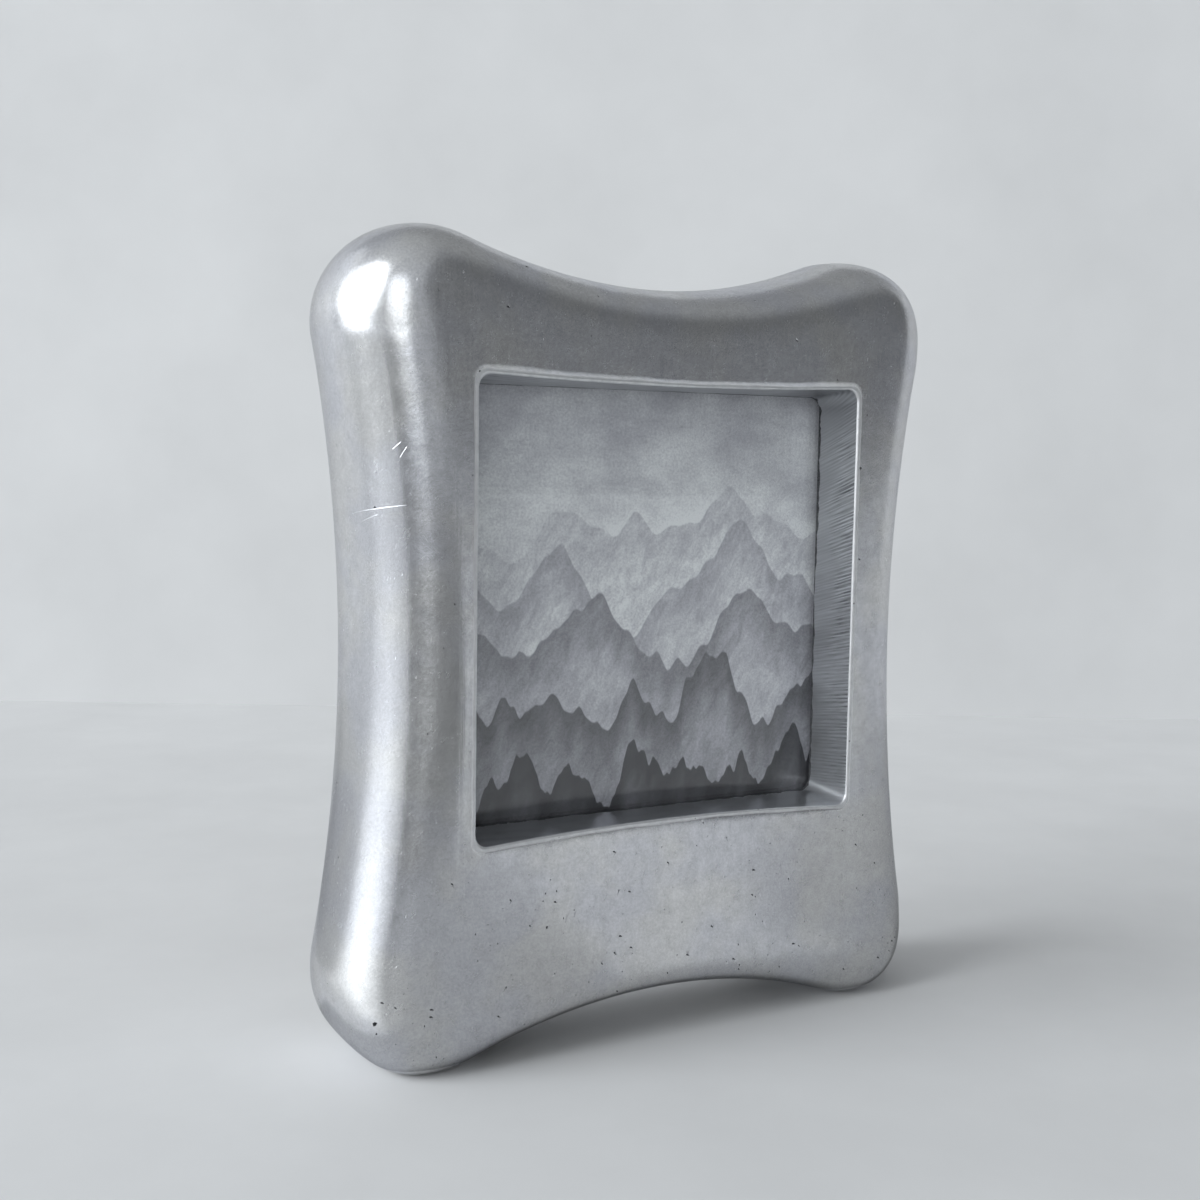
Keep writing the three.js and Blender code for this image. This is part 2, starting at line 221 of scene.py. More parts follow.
class FinishBoard(NodeBoard):
    """The nodes of one material, round a Principled shader."""

    def __init__(self, name: str) -> None:
        """Start a material with its shader and Object coordinates."""
        self.material = bpy.data.materials.new(name)
        self.material.use_nodes = True
        super().__init__(self.material.node_tree)
        self.tree.nodes.clear()
        self.shader = self.add("ShaderNodeBsdfPrincipled")
        self.surface = self.add("ShaderNodeOutputMaterial")
        self.join(self.shader.outputs[0], self.surface.inputs["Surface"])
        self.place = self.add("ShaderNodeTexCoord").outputs["Object"]

    def set(self, **values: object) -> None:
        """Set or feed sockets of the shader, with spaces in their names written as underscores."""
        for key, value in values.items():
            self.feed(self.shader.inputs[key.replace("_", " ")], value)

    def mapped(self, stretch: Numbers, turn: Numbers = (0, 0, 0), shift: Numbers = (0, 0, 0)) -> Socket:
        """Object coordinates that shift, turn and stretch a pattern.

        Args:
            stretch: How much longer the pattern is along each of its axes.
            turn: Angles about the axes in radians.
            shift: Where the pattern starts.

        Returns:
            The socket with the new coordinates.
        """
        inputs = {"Vector": self.place, "Location": shift, "Rotation": turn, "Scale": stretch}
        return self.out("ShaderNodeMapping", inputs, vector_type="TEXTURE")

    def noise(
        self,
        size: float,
        detail: float = 2.0,
        rough: float = 0.5,
        vector: Socket | None = None,
        warp: float = 0.0,
    ) -> Socket:
        """Soft random patches.

        Args:
            size: Width of a patch in metres, before any mapping.
            detail: How many finer layers are added.
            rough: How strong those are.
            vector: Coordinates, or Object coordinates if none are given.
            warp: How far the pattern is bent.

        Returns:
            The socket with a number about 0.5.
        """
        inputs = {"Scale": 1 / size, "Detail": detail, "Roughness": rough, "Distortion": warp}
        return self.out("ShaderNodeTexNoise", {"Vector": vector or self.place, **inputs})

    def ramp(self, value: Socket, stops: Sequence[tuple[float, Colour]]) -> Socket:
        """Turn a number into a colour.

        Args:
            value: The number, from 0 to 1.
            stops: Places on the ramp with their colours.

        Returns:
            The socket with the colour.
        """
        node = self.add("ShaderNodeValToRGB", {"Fac": value})
        elements = node.color_ramp.elements
        while len(elements) < len(stops):
            elements.new(0.5)
        for element, (at, colour) in zip(elements, stops):
            element.position = at
            element.color = (*colour, 1.0)
        return node.outputs[0]

    def mix(self, share: Socket, first: object, second: object, blend: str = "MIX") -> Socket:
        """Mix two colours.

        Args:
            share: How much of the second one shows.
            first: A colour or the socket that feeds it.
            second: The same for the second colour.
            blend: Blender's name of the way they mix.

        Returns:
            The socket with the mixed colour.
        """
        node = self.add("ShaderNodeMix", {0: share}, data_type="RGBA", blend_type=blend)
        for number, value in ((6, first), (7, second)):
            self.feed(node.inputs[number], value if isinstance(value, Socket) else (*value, 1.0))
        return node.outputs[2]

    def relief(self, *layers: tuple[Socket, float]) -> Socket:
        """Raise a surface by patterns laid over one another.

        Args:
            layers: Each pattern, from 0 to 1, with how high a 1 stands in metres, the coarsest first.

        Returns:
            The socket with the normal.
        """
        under: dict[str, Socket] = {}
        for height, depth in layers:
            inputs = {"Strength": 1.0, "Distance": depth, "Height": height, **under}
            under = {"Normal": self.out("ShaderNodeBump", inputs)}
        return under["Normal"]

    def specks(self, size: float, share: float, radii: Pair, vector: Socket | None = None) -> Socket:
        """Scattered round specks, one in some of the cells of a random pattern.

        Args:
            size: Width of a cell in metres.
            share: How many of the cells hold a speck.
            radii: Radius of the smallest and of the largest speck, in cells.
            vector: Coordinates, or Object coordinates if none are given.

        Returns:
            The socket with 1 in a speck and 0 outside.
        """
        cells = self.add("ShaderNodeTexVoronoi", {"Vector": vector or self.place, "Scale": 1 / size})
        pick = self.add("ShaderNodeSeparateColor", {0: cells.outputs["Color"]})
        chosen = self.math("LESS_THAN", pick.outputs[0], share)
        radius = self.spread(pick.outputs[1], (0, 1), radii, soft=False)
        depth = self.minus(radius, cells.outputs["Distance"])
        inside = self.math("DIVIDE", depth, SPECK_EDGE * radii[0], clamp=True)
        return self.times(inside, chosen)


class PartTree(NodeBoard):
    """A Geometry Nodes tree that shapes one piece, with named inputs."""

    def __init__(self, name: str) -> None:
        """Start a tree that takes and gives a geometry."""
        super().__init__(bpy.data.node_groups.new(name, "GeometryNodeTree"))
        face = self.tree.interface
        face.new_socket("Geometry", in_out="INPUT", socket_type="NodeSocketGeometry")
        face.new_socket("Geometry", in_out="OUTPUT", socket_type="NodeSocketGeometry")
        self.entry = self.add("NodeGroupInput")
        self.exit = self.add("NodeGroupOutput")
        self.values: dict[str, object] = {}

    @property
    def start(self) -> Socket:
        """The geometry that comes in."""
        return self.entry.outputs[0]

    def input(self, name: str, kind: str, value: object) -> Socket:
        """Add a named input.

        Args:
            name: Its name on the modifier.
            kind: Float, Int, Vector, Object or Material.
            value: What the modifier sets it to.

        Returns:
            The socket inside the tree.
        """
        item = self.tree.interface.new_socket(name, in_out="INPUT", socket_type=f"NodeSocket{kind}")
        self.values[item.identifier] = value
        return self.entry.outputs[name]

    def attribute(self, name: str, kind: str = "FLOAT") -> Socket:
        """Read a named attribute of the geometry."""
        return self.out("GeometryNodeInputNamedAttribute", {"Name": name}, data_type=kind)

    def paint(self, geometry: Socket, material: Socket, where: object = True) -> Socket:
        """Give a material to a geometry, or to a part of it."""
        inputs = {"Geometry": geometry, "Selection": where, "Material": material}
        return self.out("GeometryNodeSetMaterial", inputs)

    def swell(self, geometry: Socket, amount: Socket) -> Socket:
        """Move a surface outwards by an amount.

        Args:
            geometry: The surface.
            amount: How far each point moves.

        Returns:
            The moved geometry.
        """
        normal = self.out("GeometryNodeInputNormal")
        offset = self.out("ShaderNodeVectorMath", {0: normal, "Scale": amount}, operation="SCALE")
        return self.out("GeometryNodeSetPosition", {"Geometry": geometry, "Offset": offset})

    def cut(self, body: Socket, tool: Socket) -> Socket:
        """Take one closed body out of another."""
        settings = {"operation": "DIFFERENCE", "solver": "MANIFOLD"}
        return self.out("GeometryNodeMeshBoolean", {0: body, 1: tool}, **settings)

    def chance(self, top: float, seed: Socket) -> Socket:
        """A random number for each point, from 0 up to a top."""
        inputs = {2: 0.0, 3: top, "Seed": seed}
        return self.add("FunctionNodeRandomValue", inputs, data_type="FLOAT").outputs[1]

    def twist(self, axis: int, seed: Socket) -> Socket:
        """A random turn for each point, about the axis of that number."""
        euler = self.out("ShaderNodeCombineXYZ", {axis: self.chance(math.tau, seed)})
        return self.out("FunctionNodeEulerToRotation", {0: euler})

    def repeat(self, points: Socket, shape: Socket, **more: Socket) -> Socket:
        """Put a shape at each point, with its Rotation or its Scale."""
        return self.out("GeometryNodeInstanceOnPoints", {"Points": points, "Instance": shape, **more})

    def contents(self, source: Socket) -> Socket:
        """The geometry of another object."""
        return self.add("GeometryNodeObjectInfo", {"Object": source}).outputs["Geometry"]

    def real(self, instances: Socket) -> Socket:
        """Make instances into plain geometry."""
        return self.out("GeometryNodeRealizeInstances", {0: instances})

    def apply(self, piece: Piece, result: Socket) -> None:
        """Run the tree on a piece and keep the outcome as its plain mesh.

        Args:
            piece: The object whose mesh comes in, and is replaced.
            result: The geometry that leaves the tree.
        """
        self.join(result, self.exit.inputs[0])
        modifier = piece.modifiers.new(self.tree.name, "NODES")
        modifier.node_group = self.tree
        for identifier, value in self.values.items():
            modifier[identifier] = value
        graph = bpy.context.evaluated_depsgraph_get()
        shaped = bpy.data.meshes.new_from_object(piece.evaluated_get(graph), depsgraph=graph)
        piece.modifiers.clear()
        piece.data = shaped


# Finishes
@dataclass(frozen=True)
class Scratch:
    """A long scratch across the left side, by the depth and height of its ends and its width."""

    start: Pair
    end: Pair
    width: float = 0.08 * MM

    def mask(self, board: FinishBoard) -> Socket:
        """Mark the scratch.

        Args:
            board: The nodes of the metal that it crosses.

        Returns:
            The socket with 1 on the scratch and 0 beside it.
        """
        x, y, z = board.axes(board.place)
        slope = (self.end[1] - self.start[1]) / (self.end[0] - self.start[0])
        line = board.plus(board.times(y, slope), self.start[1] - slope * self.start[0])
        away = board.math("ABSOLUTE", board.minus(z, line))
        near = board.spread(away, (0.0, self.width), (1.0, 0.0))
        low, high = sorted((self.start[0], self.end[0]))
        along = board.times(board.math("GREATER_THAN", y, low), board.math("LESS_THAN", y, high))
        return board.times(near, along, board.math("LESS_THAN", x, 0.0))


@dataclass(frozen=True)
class PolishedCasting:
    """Satin aluminium, polished by hand over sand-cast metal, with pinholes and fine scratches."""

    pale: Colour = (0.96, 0.96, 0.956)
    dull: Colour = (0.87, 0.866, 0.87)
    cool: Colour = (0.945, 0.955, 1.0)
    pit: Colour = (0.10, 0.10, 0.11)
    glancing: Colour = (0.72, 0.72, 0.73)
    smooth: float = 0.16
    rough: float = 0.31
    dented: float = 0.2
    speckle: float = 0.2
    mottle: float = 0.1
    dust: float = 0.14
    pit_share: float = 0.85
    score_depth: float = 0.5
    hue_start: Triple = (0.31, 0.17, 0.05)
    border: Triple = (40.5 * MM, 44.5 * MM, 51.0 * MM)
    wave_height: float = 0.045 * MM
    pebble_height: float = 0.006 * MM
    grain_height: float = 0.005 * MM
    stroke_height: float = 0.005 * MM
    cross_height: float = 0.002 * MM
    drawn_height: float = 0.03 * MM
    dent_depth: float = 0.04 * MM
    scratches: tuple[Scratch, ...] = (
        Scratch((-1.9 * MM, 98.9 * MM), (-12.3 * MM, 100.6 * MM)),
        Scratch((-4.6 * MM, 97.6 * MM), (-8.2 * MM, 98.9 * MM), 0.06 * MM),
        Scratch((-12.1 * MM, 108.6 * MM), (-12.9 * MM, 110.4 * MM)),
        Scratch((-11.4 * MM, 110.0 * MM), (-12.4 * MM, 111.2 * MM)),
        Scratch((-13.4 * MM, 96.0 * MM), (-14.4 * MM, 92.5 * MM), 0.06 * MM),
    )

    def drawn(self, board: FinishBoard) -> Socket:
        """Streaks drawn up and down the borders beside the window.

        Args:
            board: The nodes of the metal.

        Returns:
            The socket with the height of the streaks.
        """
        across = board.math("ABSOLUTE", board.axes(board.place)[0])
        near, middle, far = self.border
        inner = board.spread(across, (near, middle), (0, 1))
        outer = board.spread(across, (middle, far), (1, 0))
        streaks = board.noise(0.9 * MM, rough=0.6, vector=board.mapped((1, 1, 45)))
        return board.times(streaks, board.times(inner, outer))

    def holes(self, board: FinishBoard) -> Socket:
        """Pinholes, and fainter specks of dust between them.

        Args:
            board: The nodes of the metal.

        Returns:
            The socket with 1 in a pinhole, less in a speck of dust and 0 outside.
        """
        pinholes = board.specks(2.1 * MM, share=0.12, radii=(0.03, 0.07))
        dust = board.specks(0.6 * MM, share=0.12, radii=(0.07, 0.15))
        return board.math("MAXIMUM", pinholes, board.times(dust, self.dust))

    def scores(self, board: FinishBoard) -> Socket:
        """The long scratches, and short nicks over all the metal.

        Args:
            board: The nodes of the metal.

        Returns:
            The socket with how deep the scores are.
        """
        marks = self.scratches[0].mask(board)
        for scratch in self.scratches[1:]:
            marks = board.math("MAXIMUM", marks, scratch.mask(board))
        upright = board.mapped((1, 1, 4.5), turn=(0.1, 0.15, 0))
        nicks = board.specks(1.5 * MM, share=0.3, radii=(0.025, 0.06), vector=upright)
        return board.times(board.math("MAXIMUM", marks, nicks), self.score_depth)

    def material(self) -> Material:
        """Build the polished skin.

        Returns:
            The material.
        """
        board = FinishBoard("polished_casting")
        waves = board.noise(5 * MM, rough=0.45)
        patches = board.noise(22 * MM, detail=3, rough=0.55, warp=0.5)
        hue = board.noise(15 * MM, detail=3, vector=board.mapped((1, 1, 1), shift=self.hue_start))
        cloud = board.noise(2.6 * MM, detail=5, rough=0.72)
        pebbles = board.noise(0.75 * MM, detail=3, rough=0.65)
        grain = board.noise(0.42 * MM, detail=3, rough=0.7)
        strokes = board.noise(0.4 * MM, rough=0.6, vector=board.mapped((1, 1, 11)))
        cross = board.noise(0.35 * MM, vector=board.mapped((1, 1, 14), turn=(0.3, 0.7, 0)))
        holes = self.holes(board)
        dents = board.math("MAXIMUM", holes, self.scores(board))
        metal = board.ramp(patches, [(0.3, self.dull), (0.68, self.pale)])
        metal = board.mix(board.spread(hue, (0.38, 0.62), (0, 1)), metal, self.cool, "MULTIPLY")
        speckle = board.spread(grain, (0.28, 0.72), (0, self.speckle), soft=False)
        mottle = board.spread(cloud, (0.35, 0.65), (0, self.mottle), soft=False)
        metal = board.mix(board.plus(speckle, mottle), metal, (0, 0, 0))
        wear = board.plus(board.times(cloud, 0.6), board.weigh(strokes, cross, (0.2, 0.2)))
        shine = board.spread(wear, NOISE_SPAN, (self.smooth, self.rough), soft=False)
        normal = board.relief(
            (waves, self.wave_height),
            (pebbles, self.pebble_height),
            (grain, self.grain_height),
            (strokes, self.stroke_height),
            (cross, self.cross_height),
            (self.drawn(board), self.drawn_height),
            (board.minus(1.0, dents), self.dent_depth),
        )
        board.set(
            Base_Color=board.mix(board.times(holes, self.pit_share), metal, self.pit),
            Metallic=1.0,
            Roughness=board.plus(shine, board.times(dents, self.dented)),
            Normal=normal,
            Specular_Tint=(*self.glancing, 1.0),
        )
        return board.material


@dataclass(frozen=True)
class WornLip:
    """The edge of the window, rubbed bright along its length."""

    bright: Colour = (0.93, 0.935, 0.945)
    grey: Colour = (0.80, 0.805, 0.82)
    nick: Colour = (0.12, 0.12, 0.13)

    def material(self) -> Material:
        """Build the bright edge.

        Returns:
            The material.
        """
        board = FinishBoard("worn_lip")
        rub = board.noise(3 * MM, detail=4, rough=0.65)
        nicks = board.specks(2.4 * MM, share=0.12, radii=(0.05, 0.1))
        board.set(
            Base_Color=board.mix(nicks, board.ramp(rub, [(0.35, self.grey), (0.6, self.bright)]), self.nick),
            Metallic=1.0,
            Roughness=board.spread(rub, NOISE_SPAN, (0.5, 0.36)),
            Normal=board.relief((board.noise(0.8 * MM), 0.004 * MM)),
        )
        return board.material


@dataclass(frozen=True)
class FiledWall:
    """The window's walls, dressed with a file in slanting strokes that run out towards the back, with painted
    shade in the file grooves and painted light on the sill.
    """

    metal: Colour = (0.86, 0.875, 0.90)
    # groove: painted shade in the file grooves, far darker than the bare metal
    groove: Colour = (0.13, 0.134, 0.143)
    stroke: float = 0.68 * MM
    length: float = 16.0
    wander: float = 3.2
    cut: Pair = (0.28, 0.28)
    # Base tone of the walls, and the painted light added on the upward-facing sill
    base_and_sill_light: Pair = (0.32, 0.55)
    slant: Pair = (0.1, 0.45)
    height: Pair = (50 * MM, 122 * MM)
    depth: Pair = (-14 * MM, -5 * MM)
    sill: Pair = (42.5 * MM, 45 * MM)
    head: Pair = (106 * MM, 120 * MM)
    patchy: Pair = (0.4, 1.0)
    fading: Pair = (1.0, 0.2)
    easing: Pair = (1.0, 0.3)
    sill_ease: float = 0.7

    def material(self) -> Material:
        """Build the filed metal.

        Returns:
            The material.
        """
        board = FinishBoard("filed_wall")
        x, y, z = board.axes(board.place)
        across = board.plus(z, board.times(y, board.spread(z, self.height, self.slant, soft=False)))
        along = {place: board.math("DIVIDE", axis, self.length) for place, axis in enumerate((x, y))}
        slanted = board.out("ShaderNodeCombineXYZ", {**along, 2: across})
        wander = board.times(board.noise(2.6 * MM, detail=3, rough=0.6, vector=slanted), self.wander)
        turns = board.plus(board.math("DIVIDE", across, self.stroke), wander)
        teeth = board.math("SINE", board.times(turns, math.tau))
        strokes = board.noise(0.45 * self.stroke, rough=0.6, vector=slanted)
        strokes = board.spread(strokes, NOISE_SPAN, (-1, 1), soft=False)
        patches = board.spread(board.noise(5 * MM, detail=3), (0.35, 0.65), self.patchy)
        deep = board.spread(y, self.depth, self.fading)
        high = board.spread(z, self.head, self.easing)
        # Painted light: the upward-facing sill is made paler than the other walls, with weaker strokes
        sill = board.spread(z, self.sill, (1, 0))
        force = board.times(patches, deep, high, board.minus(1.0, board.times(sill, self.sill_ease)))
        base = board.plus(board.times(sill, self.base_and_sill_light[0]), self.base_and_sill_light[1])
        level = board.plus(board.times(board.weigh(teeth, strokes, self.cut), force), base)
        board.set(
            # The strokes run from painted shade in the grooves to the bare metal
            Base_Color=board.ramp(level, [(0.1, self.groove), (0.9, self.metal)]),
            Metallic=1.0,
            Roughness=board.spread(level, (0.1, 0.9), (0.5, 0.3)),
            Normal=board.relief((level, 0.08 * MM)),
        )
        return board.material


@dataclass(frozen=True)
class AsCastSkin:
    """Metal as it left the sand mould, dull and grainy."""

    light: Colour = (0.47, 0.475, 0.485)
    dark: Colour = (0.30, 0.303, 0.312)

    def material(self) -> Material:
        """Build the sand-cast skin.

        Returns:
            The material.
        """
        board = FinishBoard("as_cast_skin")
        sand = board.noise(0.55 * MM, detail=4, rough=0.6)
        stain = board.noise(11 * MM, detail=4, rough=0.6)
        mixed = board.weigh(sand, stain, (0.45, 0.55))
        board.set(
            Base_Color=board.ramp(mixed, [(0.35, self.dark), (0.65, self.light)]),
            Metallic=1.0,
            Roughness=board.spread(mixed, NOISE_SPAN, (0.68, 0.48)),
            Normal=board.relief((board.noise(5 * MM), 0.12 * MM), (sand, 0.09 * MM)),
        )
        return board.material


@dataclass(frozen=True)
class PoreAndShadeMetal:
    """Dark, dull metal: the pores, the ground feet and the window's rough back edge, which also carries
    painted shade of the gap at the glass.
    """

    name: str
    dark: Colour = (0.035, 0.036, 0.04)
    grey: Colour = (0.15, 0.152, 0.16)

    def material(self) -> Material:
        """Build the dark metal.

        Returns:
            The material.
        """
        board = FinishBoard(self.name)
        dirt = board.noise(0.3 * MM, detail=3, rough=0.6)
        board.set(
            Base_Color=board.ramp(dirt, [(0.35, self.dark), (0.7, self.grey)]),
            Metallic=0.4,
            Roughness=board.spread(dirt, NOISE_SPAN, (0.75, 0.55)),
            Normal=board.relief((dirt, 0.03 * MM)),
        )
        return board.material


@dataclass(frozen=True)
class WindowGlass:
    """Clear float glass with a trace of dust."""

    tint: Colour = (0.972, 0.98, 0.982)

    def material(self) -> Material:
        """Build the glass, which lets light through to the print.

        Returns:
            The material.
        """
        board = FinishBoard("window_glass")
        dust = board.noise(6 * MM, detail=5, rough=0.7)
        board.set(
            Base_Color=(*self.tint, 1.0),
            Transmission_Weight=1.0,
            IOR=1.5,
            Roughness=board.spread(dust, (0.4, 0.8), (0.0, 0.06)),
        )
        ray = board.add("ShaderNodeLightPath")
        through = board.math("MAXIMUM", ray.outputs["Is Shadow Ray"], ray.outputs["Is Diffuse Ray"])
        clear = board.out("ShaderNodeBsdfTransparent", {"Color": (*self.tint, 1.0)})
        pane = board.out("ShaderNodeMixShader", {0: through, 1: board.shader.outputs[0], 2: clear})
        board.join(pane, board.surface.inputs["Surface"])
        return board.material


@dataclass(frozen=True)
class Ridge:
    """One range of hills on the print, in half sheets from its middle."""

    height: float
    rise: float
    width: float
    crest: float
    mist: float


@dataclass(frozen=True)
class HillPrint:
    """Black-and-white photo paper with a made-up view of hills in mist."""

    middle: float
    half: float
    sky: Pair = (0.95, 0.58)
    sky_span: Pair = (0.15, 1.0)
    clouds: Pair = (0.78, 1.22)
    cloud_size: float = 0.55
    cloud_length: float = 2.2
    rock_size: float = 0.05
    rock_length: float = 2.4
    rock_slant: float = 0.5
    contrast: Pair = (0.72, 1.28)
    stains: Pair = (0.86, 1.1)
    crest_edge: float = 0.012
    mist_depth: float = 0.34
    apart: float = 7.3
    tones: tuple[tuple[float, Colour], ...] = (
        (0.0, (0.006, 0.006, 0.008)),
        (0.5, (0.50, 0.493, 0.535)),
        (1.0, (0.94, 0.945, 0.95)),
    )
    ridges: tuple[Ridge, ...] = (
        Ridge(0.34, 0.34, 0.80, 0.66, 0.86),
        Ridge(0.10, 0.30, 0.55, 0.47, 0.76),
        Ridge(-0.14, 0.26, 0.42, 0.30, 0.60),
        Ridge(-0.42, 0.24, 0.30, 0.15, 0.42),
        Ridge(-0.74, 0.20, 0.20, 0.05, 0.16),
    )

    def material(self) -> Material:
        """Build the picture from the far sky to the nearest ridge.

        Returns:
            The material.
        """
        board = FinishBoard("hill_print")
        across, _, up = board.axes(board.mapped((self.half, 1, self.half), shift=(0, 0, self.middle)))
        level = board.mapped((self.half, 1, self.half / self.cloud_length))
        clouds = board.noise(self.cloud_size, detail=5, rough=0.6, vector=level)
        tone = board.spread(up, self.sky_span, self.sky)
        tone = board.times(tone, board.spread(clouds, NOISE_SPAN, self.clouds))
        turn = (0, self.rock_slant, 0)
        slanted = board.mapped((self.half, 1, self.rock_length * self.half), turn=turn)
        rocks = board.noise(self.rock_size, detail=6, rough=0.7, vector=slanted, warp=0.6)
        rocks = board.spread(rocks, NOISE_SPAN, self.contrast, soft=False)
        for number, ridge in enumerate(self.ridges):
            below = board.minus(self.skyline(board, across, ridge, number), up)
            inside = board.spread(below, (0.0, self.crest_edge), (0, 1))
            body = board.spread(below, (0.0, self.mist_depth), (ridge.crest, ridge.mist))
            tone = board.fade(inside, tone, board.times(body, rocks))
        grain = board.noise(0.5 * MM, detail=3, rough=0.75)
        stain = board.noise(9 * MM, detail=5, rough=0.7)
        tone = board.times(tone, board.spread(grain, (0.25, 0.75), self.contrast, soft=False))
        tone = board.times(tone, board.spread(stain, NOISE_SPAN, self.stains))
        board.set(
            Base_Color=board.ramp(tone, self.tones),
            Roughness=board.spread(grain, NOISE_SPAN, (0.42, 0.55)),
            Specular_IOR_Level=0.4,
            Normal=board.relief((grain, 0.004 * MM)),
        )
        return board.material

    def skyline(self, board: FinishBoard, across: Socket, ridge: Ridge, number: int) -> Socket:
        """Draw the upper edge of one ridge.

        Args:
            board: The print's nodes.
            across: Where the point is, from left to right.
            ridge: The ridge.
            number: Its place in the row, which picks its shape.

        Returns:
            The socket with the ridge's height above that point.
        """
        way = board.plus(across, self.apart * (number + 1))
        inputs = {"W": way, "Scale": 1 / ridge.width, "Detail": 3.0, "Roughness": 0.46}
        hills = board.out("ShaderNodeTexNoise", inputs, noise_dimensions="1D")
        span = (ridge.height - ridge.rise, ridge.height + ridge.rise)
        return board.spread(hills, (0.2, 0.8), span, soft=False)


@dataclass(frozen=True)
class GreyCard:
    """Plain grey card with a fibrous cut edge."""

    light: Colour = (0.36, 0.345, 0.315)
    dark: Colour = (0.27, 0.255, 0.23)

    def material(self) -> Material:
        """Build the card.

        Returns:
            The material.
        """
        board = FinishBoard("grey_card")
        fibre = board.noise(0.6 * MM, detail=4, rough=0.65, warp=0.5)
        board.set(
            Base_Color=board.ramp(fibre, [(0.35, self.dark), (0.65, self.light)]),
            Roughness=board.spread(fibre, NOISE_SPAN, (0.95, 0.82)),
            Normal=board.relief((fibre, 0.03 * MM)),
        )
        return board.material


@dataclass(frozen=True)
class Hardboard:
    """Brown hardboard, smooth on its face, with pressed fibres in it."""

    dark: Colour = (0.115, 0.062, 0.034)
    brown: Colour = (0.205, 0.118, 0.066)
    straw: Colour = (0.32, 0.205, 0.118)
    fibre: float = 0.5 * MM

    def material(self) -> Material:
        """Build the board.

        Returns:
            The material.
        """
        board = FinishBoard("hardboard")
        pulp = board.noise(2.4 * MM, detail=5, rough=0.65, warp=0.8)
        upright = board.mapped((1, 1, 10), turn=(0, 0.5, 0))
        level = board.mapped((10, 1, 1), turn=(0, 0.3, 0))
        first, second = [board.noise(self.fibre, rough=0.6, vector=vector) for vector in (upright, level)]
        mixed = board.weigh(pulp, board.math("MAXIMUM", first, second), (0.6, 0.4))
        board.set(
            Base_Color=board.ramp(mixed, [(0.34, self.dark), (0.52, self.brown), (0.72, self.straw)]),
            Roughness=board.spread(mixed, (0.35, 0.7), (0.62, 0.45)),
            Specular_IOR_Level=0.35,
            Normal=board.relief((mixed, 0.05 * MM)),
        )
        return board.material


@dataclass(frozen=True)
class PlatedMetal:
    """Thin bright plating on a stamped or headed steel part, handled and a little tarnished."""

    name: str
    bright: Colour
    tarnished: Colour
    smooth: float
    rough: float
    spot: Colour = (0.1, 0.085, 0.07)

    def material(self) -> Material:
        """Build the plated metal.

        Returns:
            The material.
        """
        board = FinishBoard(self.name)
        tarnish = board.noise(3.5 * MM, detail=5, rough=0.65, warp=0.5)
        strokes = board.noise(0.3 * MM, rough=0.6, vector=board.mapped((1, 1, 12), turn=(0, 0.4, 0)))
        spots = board.specks(1.1 * MM, share=0.1, radii=(0.05, 0.14))
        metal = board.ramp(tarnish, [(0.34, self.tarnished), (0.62, self.bright)])
        wear = board.weigh(tarnish, strokes, (0.6, 0.4))
        board.set(
            Base_Color=board.mix(board.times(spots, 0.6), metal, self.spot),
            Metallic=1.0,
            Roughness=board.spread(wear, (0.32, 0.68), (self.rough, self.smooth)),
            Normal=board.relief((tarnish, 0.02 * MM), (strokes, 0.004 * MM)),
        )
        return board.material


BRASS = PlatedMetal("brass_plate", (0.72, 0.53, 0.25), (0.50, 0.34, 0.14), 0.2, 0.42)
ZINC = PlatedMetal("zinc_plate", (0.66, 0.675, 0.69), (0.47, 0.475, 0.48), 0.24, 0.46)


@dataclass(frozen=True)
class StudioPaint:
    """Plain grey paint for the floor, the wall and the cards, from a light to a dark tone."""

    name: str
    light: float
    dark: float
    size: float
    rough: float = 0.55
    gloss: float = 0.25

    def material(self) -> Material:
        """Build the paint.

        Returns:
            The material.
        """
        board = FinishBoard(self.name)
        cloud = board.noise(self.size, detail=4, rough=0.6)
        board.set(
            Base_Color=board.ramp(cloud, [(0.3, (self.dark,) * 3), (0.7, (self.light,) * 3)]),
            Roughness=board.spread(cloud, NOISE_SPAN, (self.rough + 0.05, self.rough - 0.05)),
            Specular_IOR_Level=self.gloss,
        )
        return board.material


FLOOR_PAINT = StudioPaint("pale_floor", 0.68, 0.64, 0.05, 0.45, 0.0)
WALL_PAINT = StudioPaint("pale_wall", 0.675, 0.605, 0.12)
DARK_PAINT = StudioPaint("dark_card", 0.20, 0.15, 0.05, 0.8, 0.0)
PALE_PAINT = StudioPaint("pale_card", 0.80, 0.76, 0.05, 0.45, 0.22)
MID_PAINT = StudioPaint("mid_card", 0.47, 0.43, 0.05, 0.8, 0.0)


# Points, rings and meshes
def bends(count: int) -> list[float]:
    """Angles in equal steps over a quarter turn, with both ends."""
    return [QUARTER * step / count for step in range(count + 1)]


def compass(angles: np.ndarray) -> np.ndarray:
    """Flat directions at a row of angles."""
    return np.column_stack([np.cos(angles), np.sin(angles)])


def quadrant(number: int) -> np.ndarray:
    """The signs of a quadrant's two axes, counted from the upper right one."""
    middle = (number + 0.5) * QUARTER
    return np.sign([math.cos(middle), math.sin(middle)])


def upright(flat: np.ndarray, y: Depth, lift: float = 0.0) -> Ring:
    """Stand a flat ring up at a depth, lifted by a height."""
    return np.column_stack([flat[:, 0], np.broadcast_to(y, len(flat)), lift + flat[:, 1]])


def between(first: Ring, last: Ring, count: int) -> list[Ring]:
    """Rings in equal steps from after the first one up to the last one."""
    return [first + (last - first) * step / count for step in range(1, count + 1)]


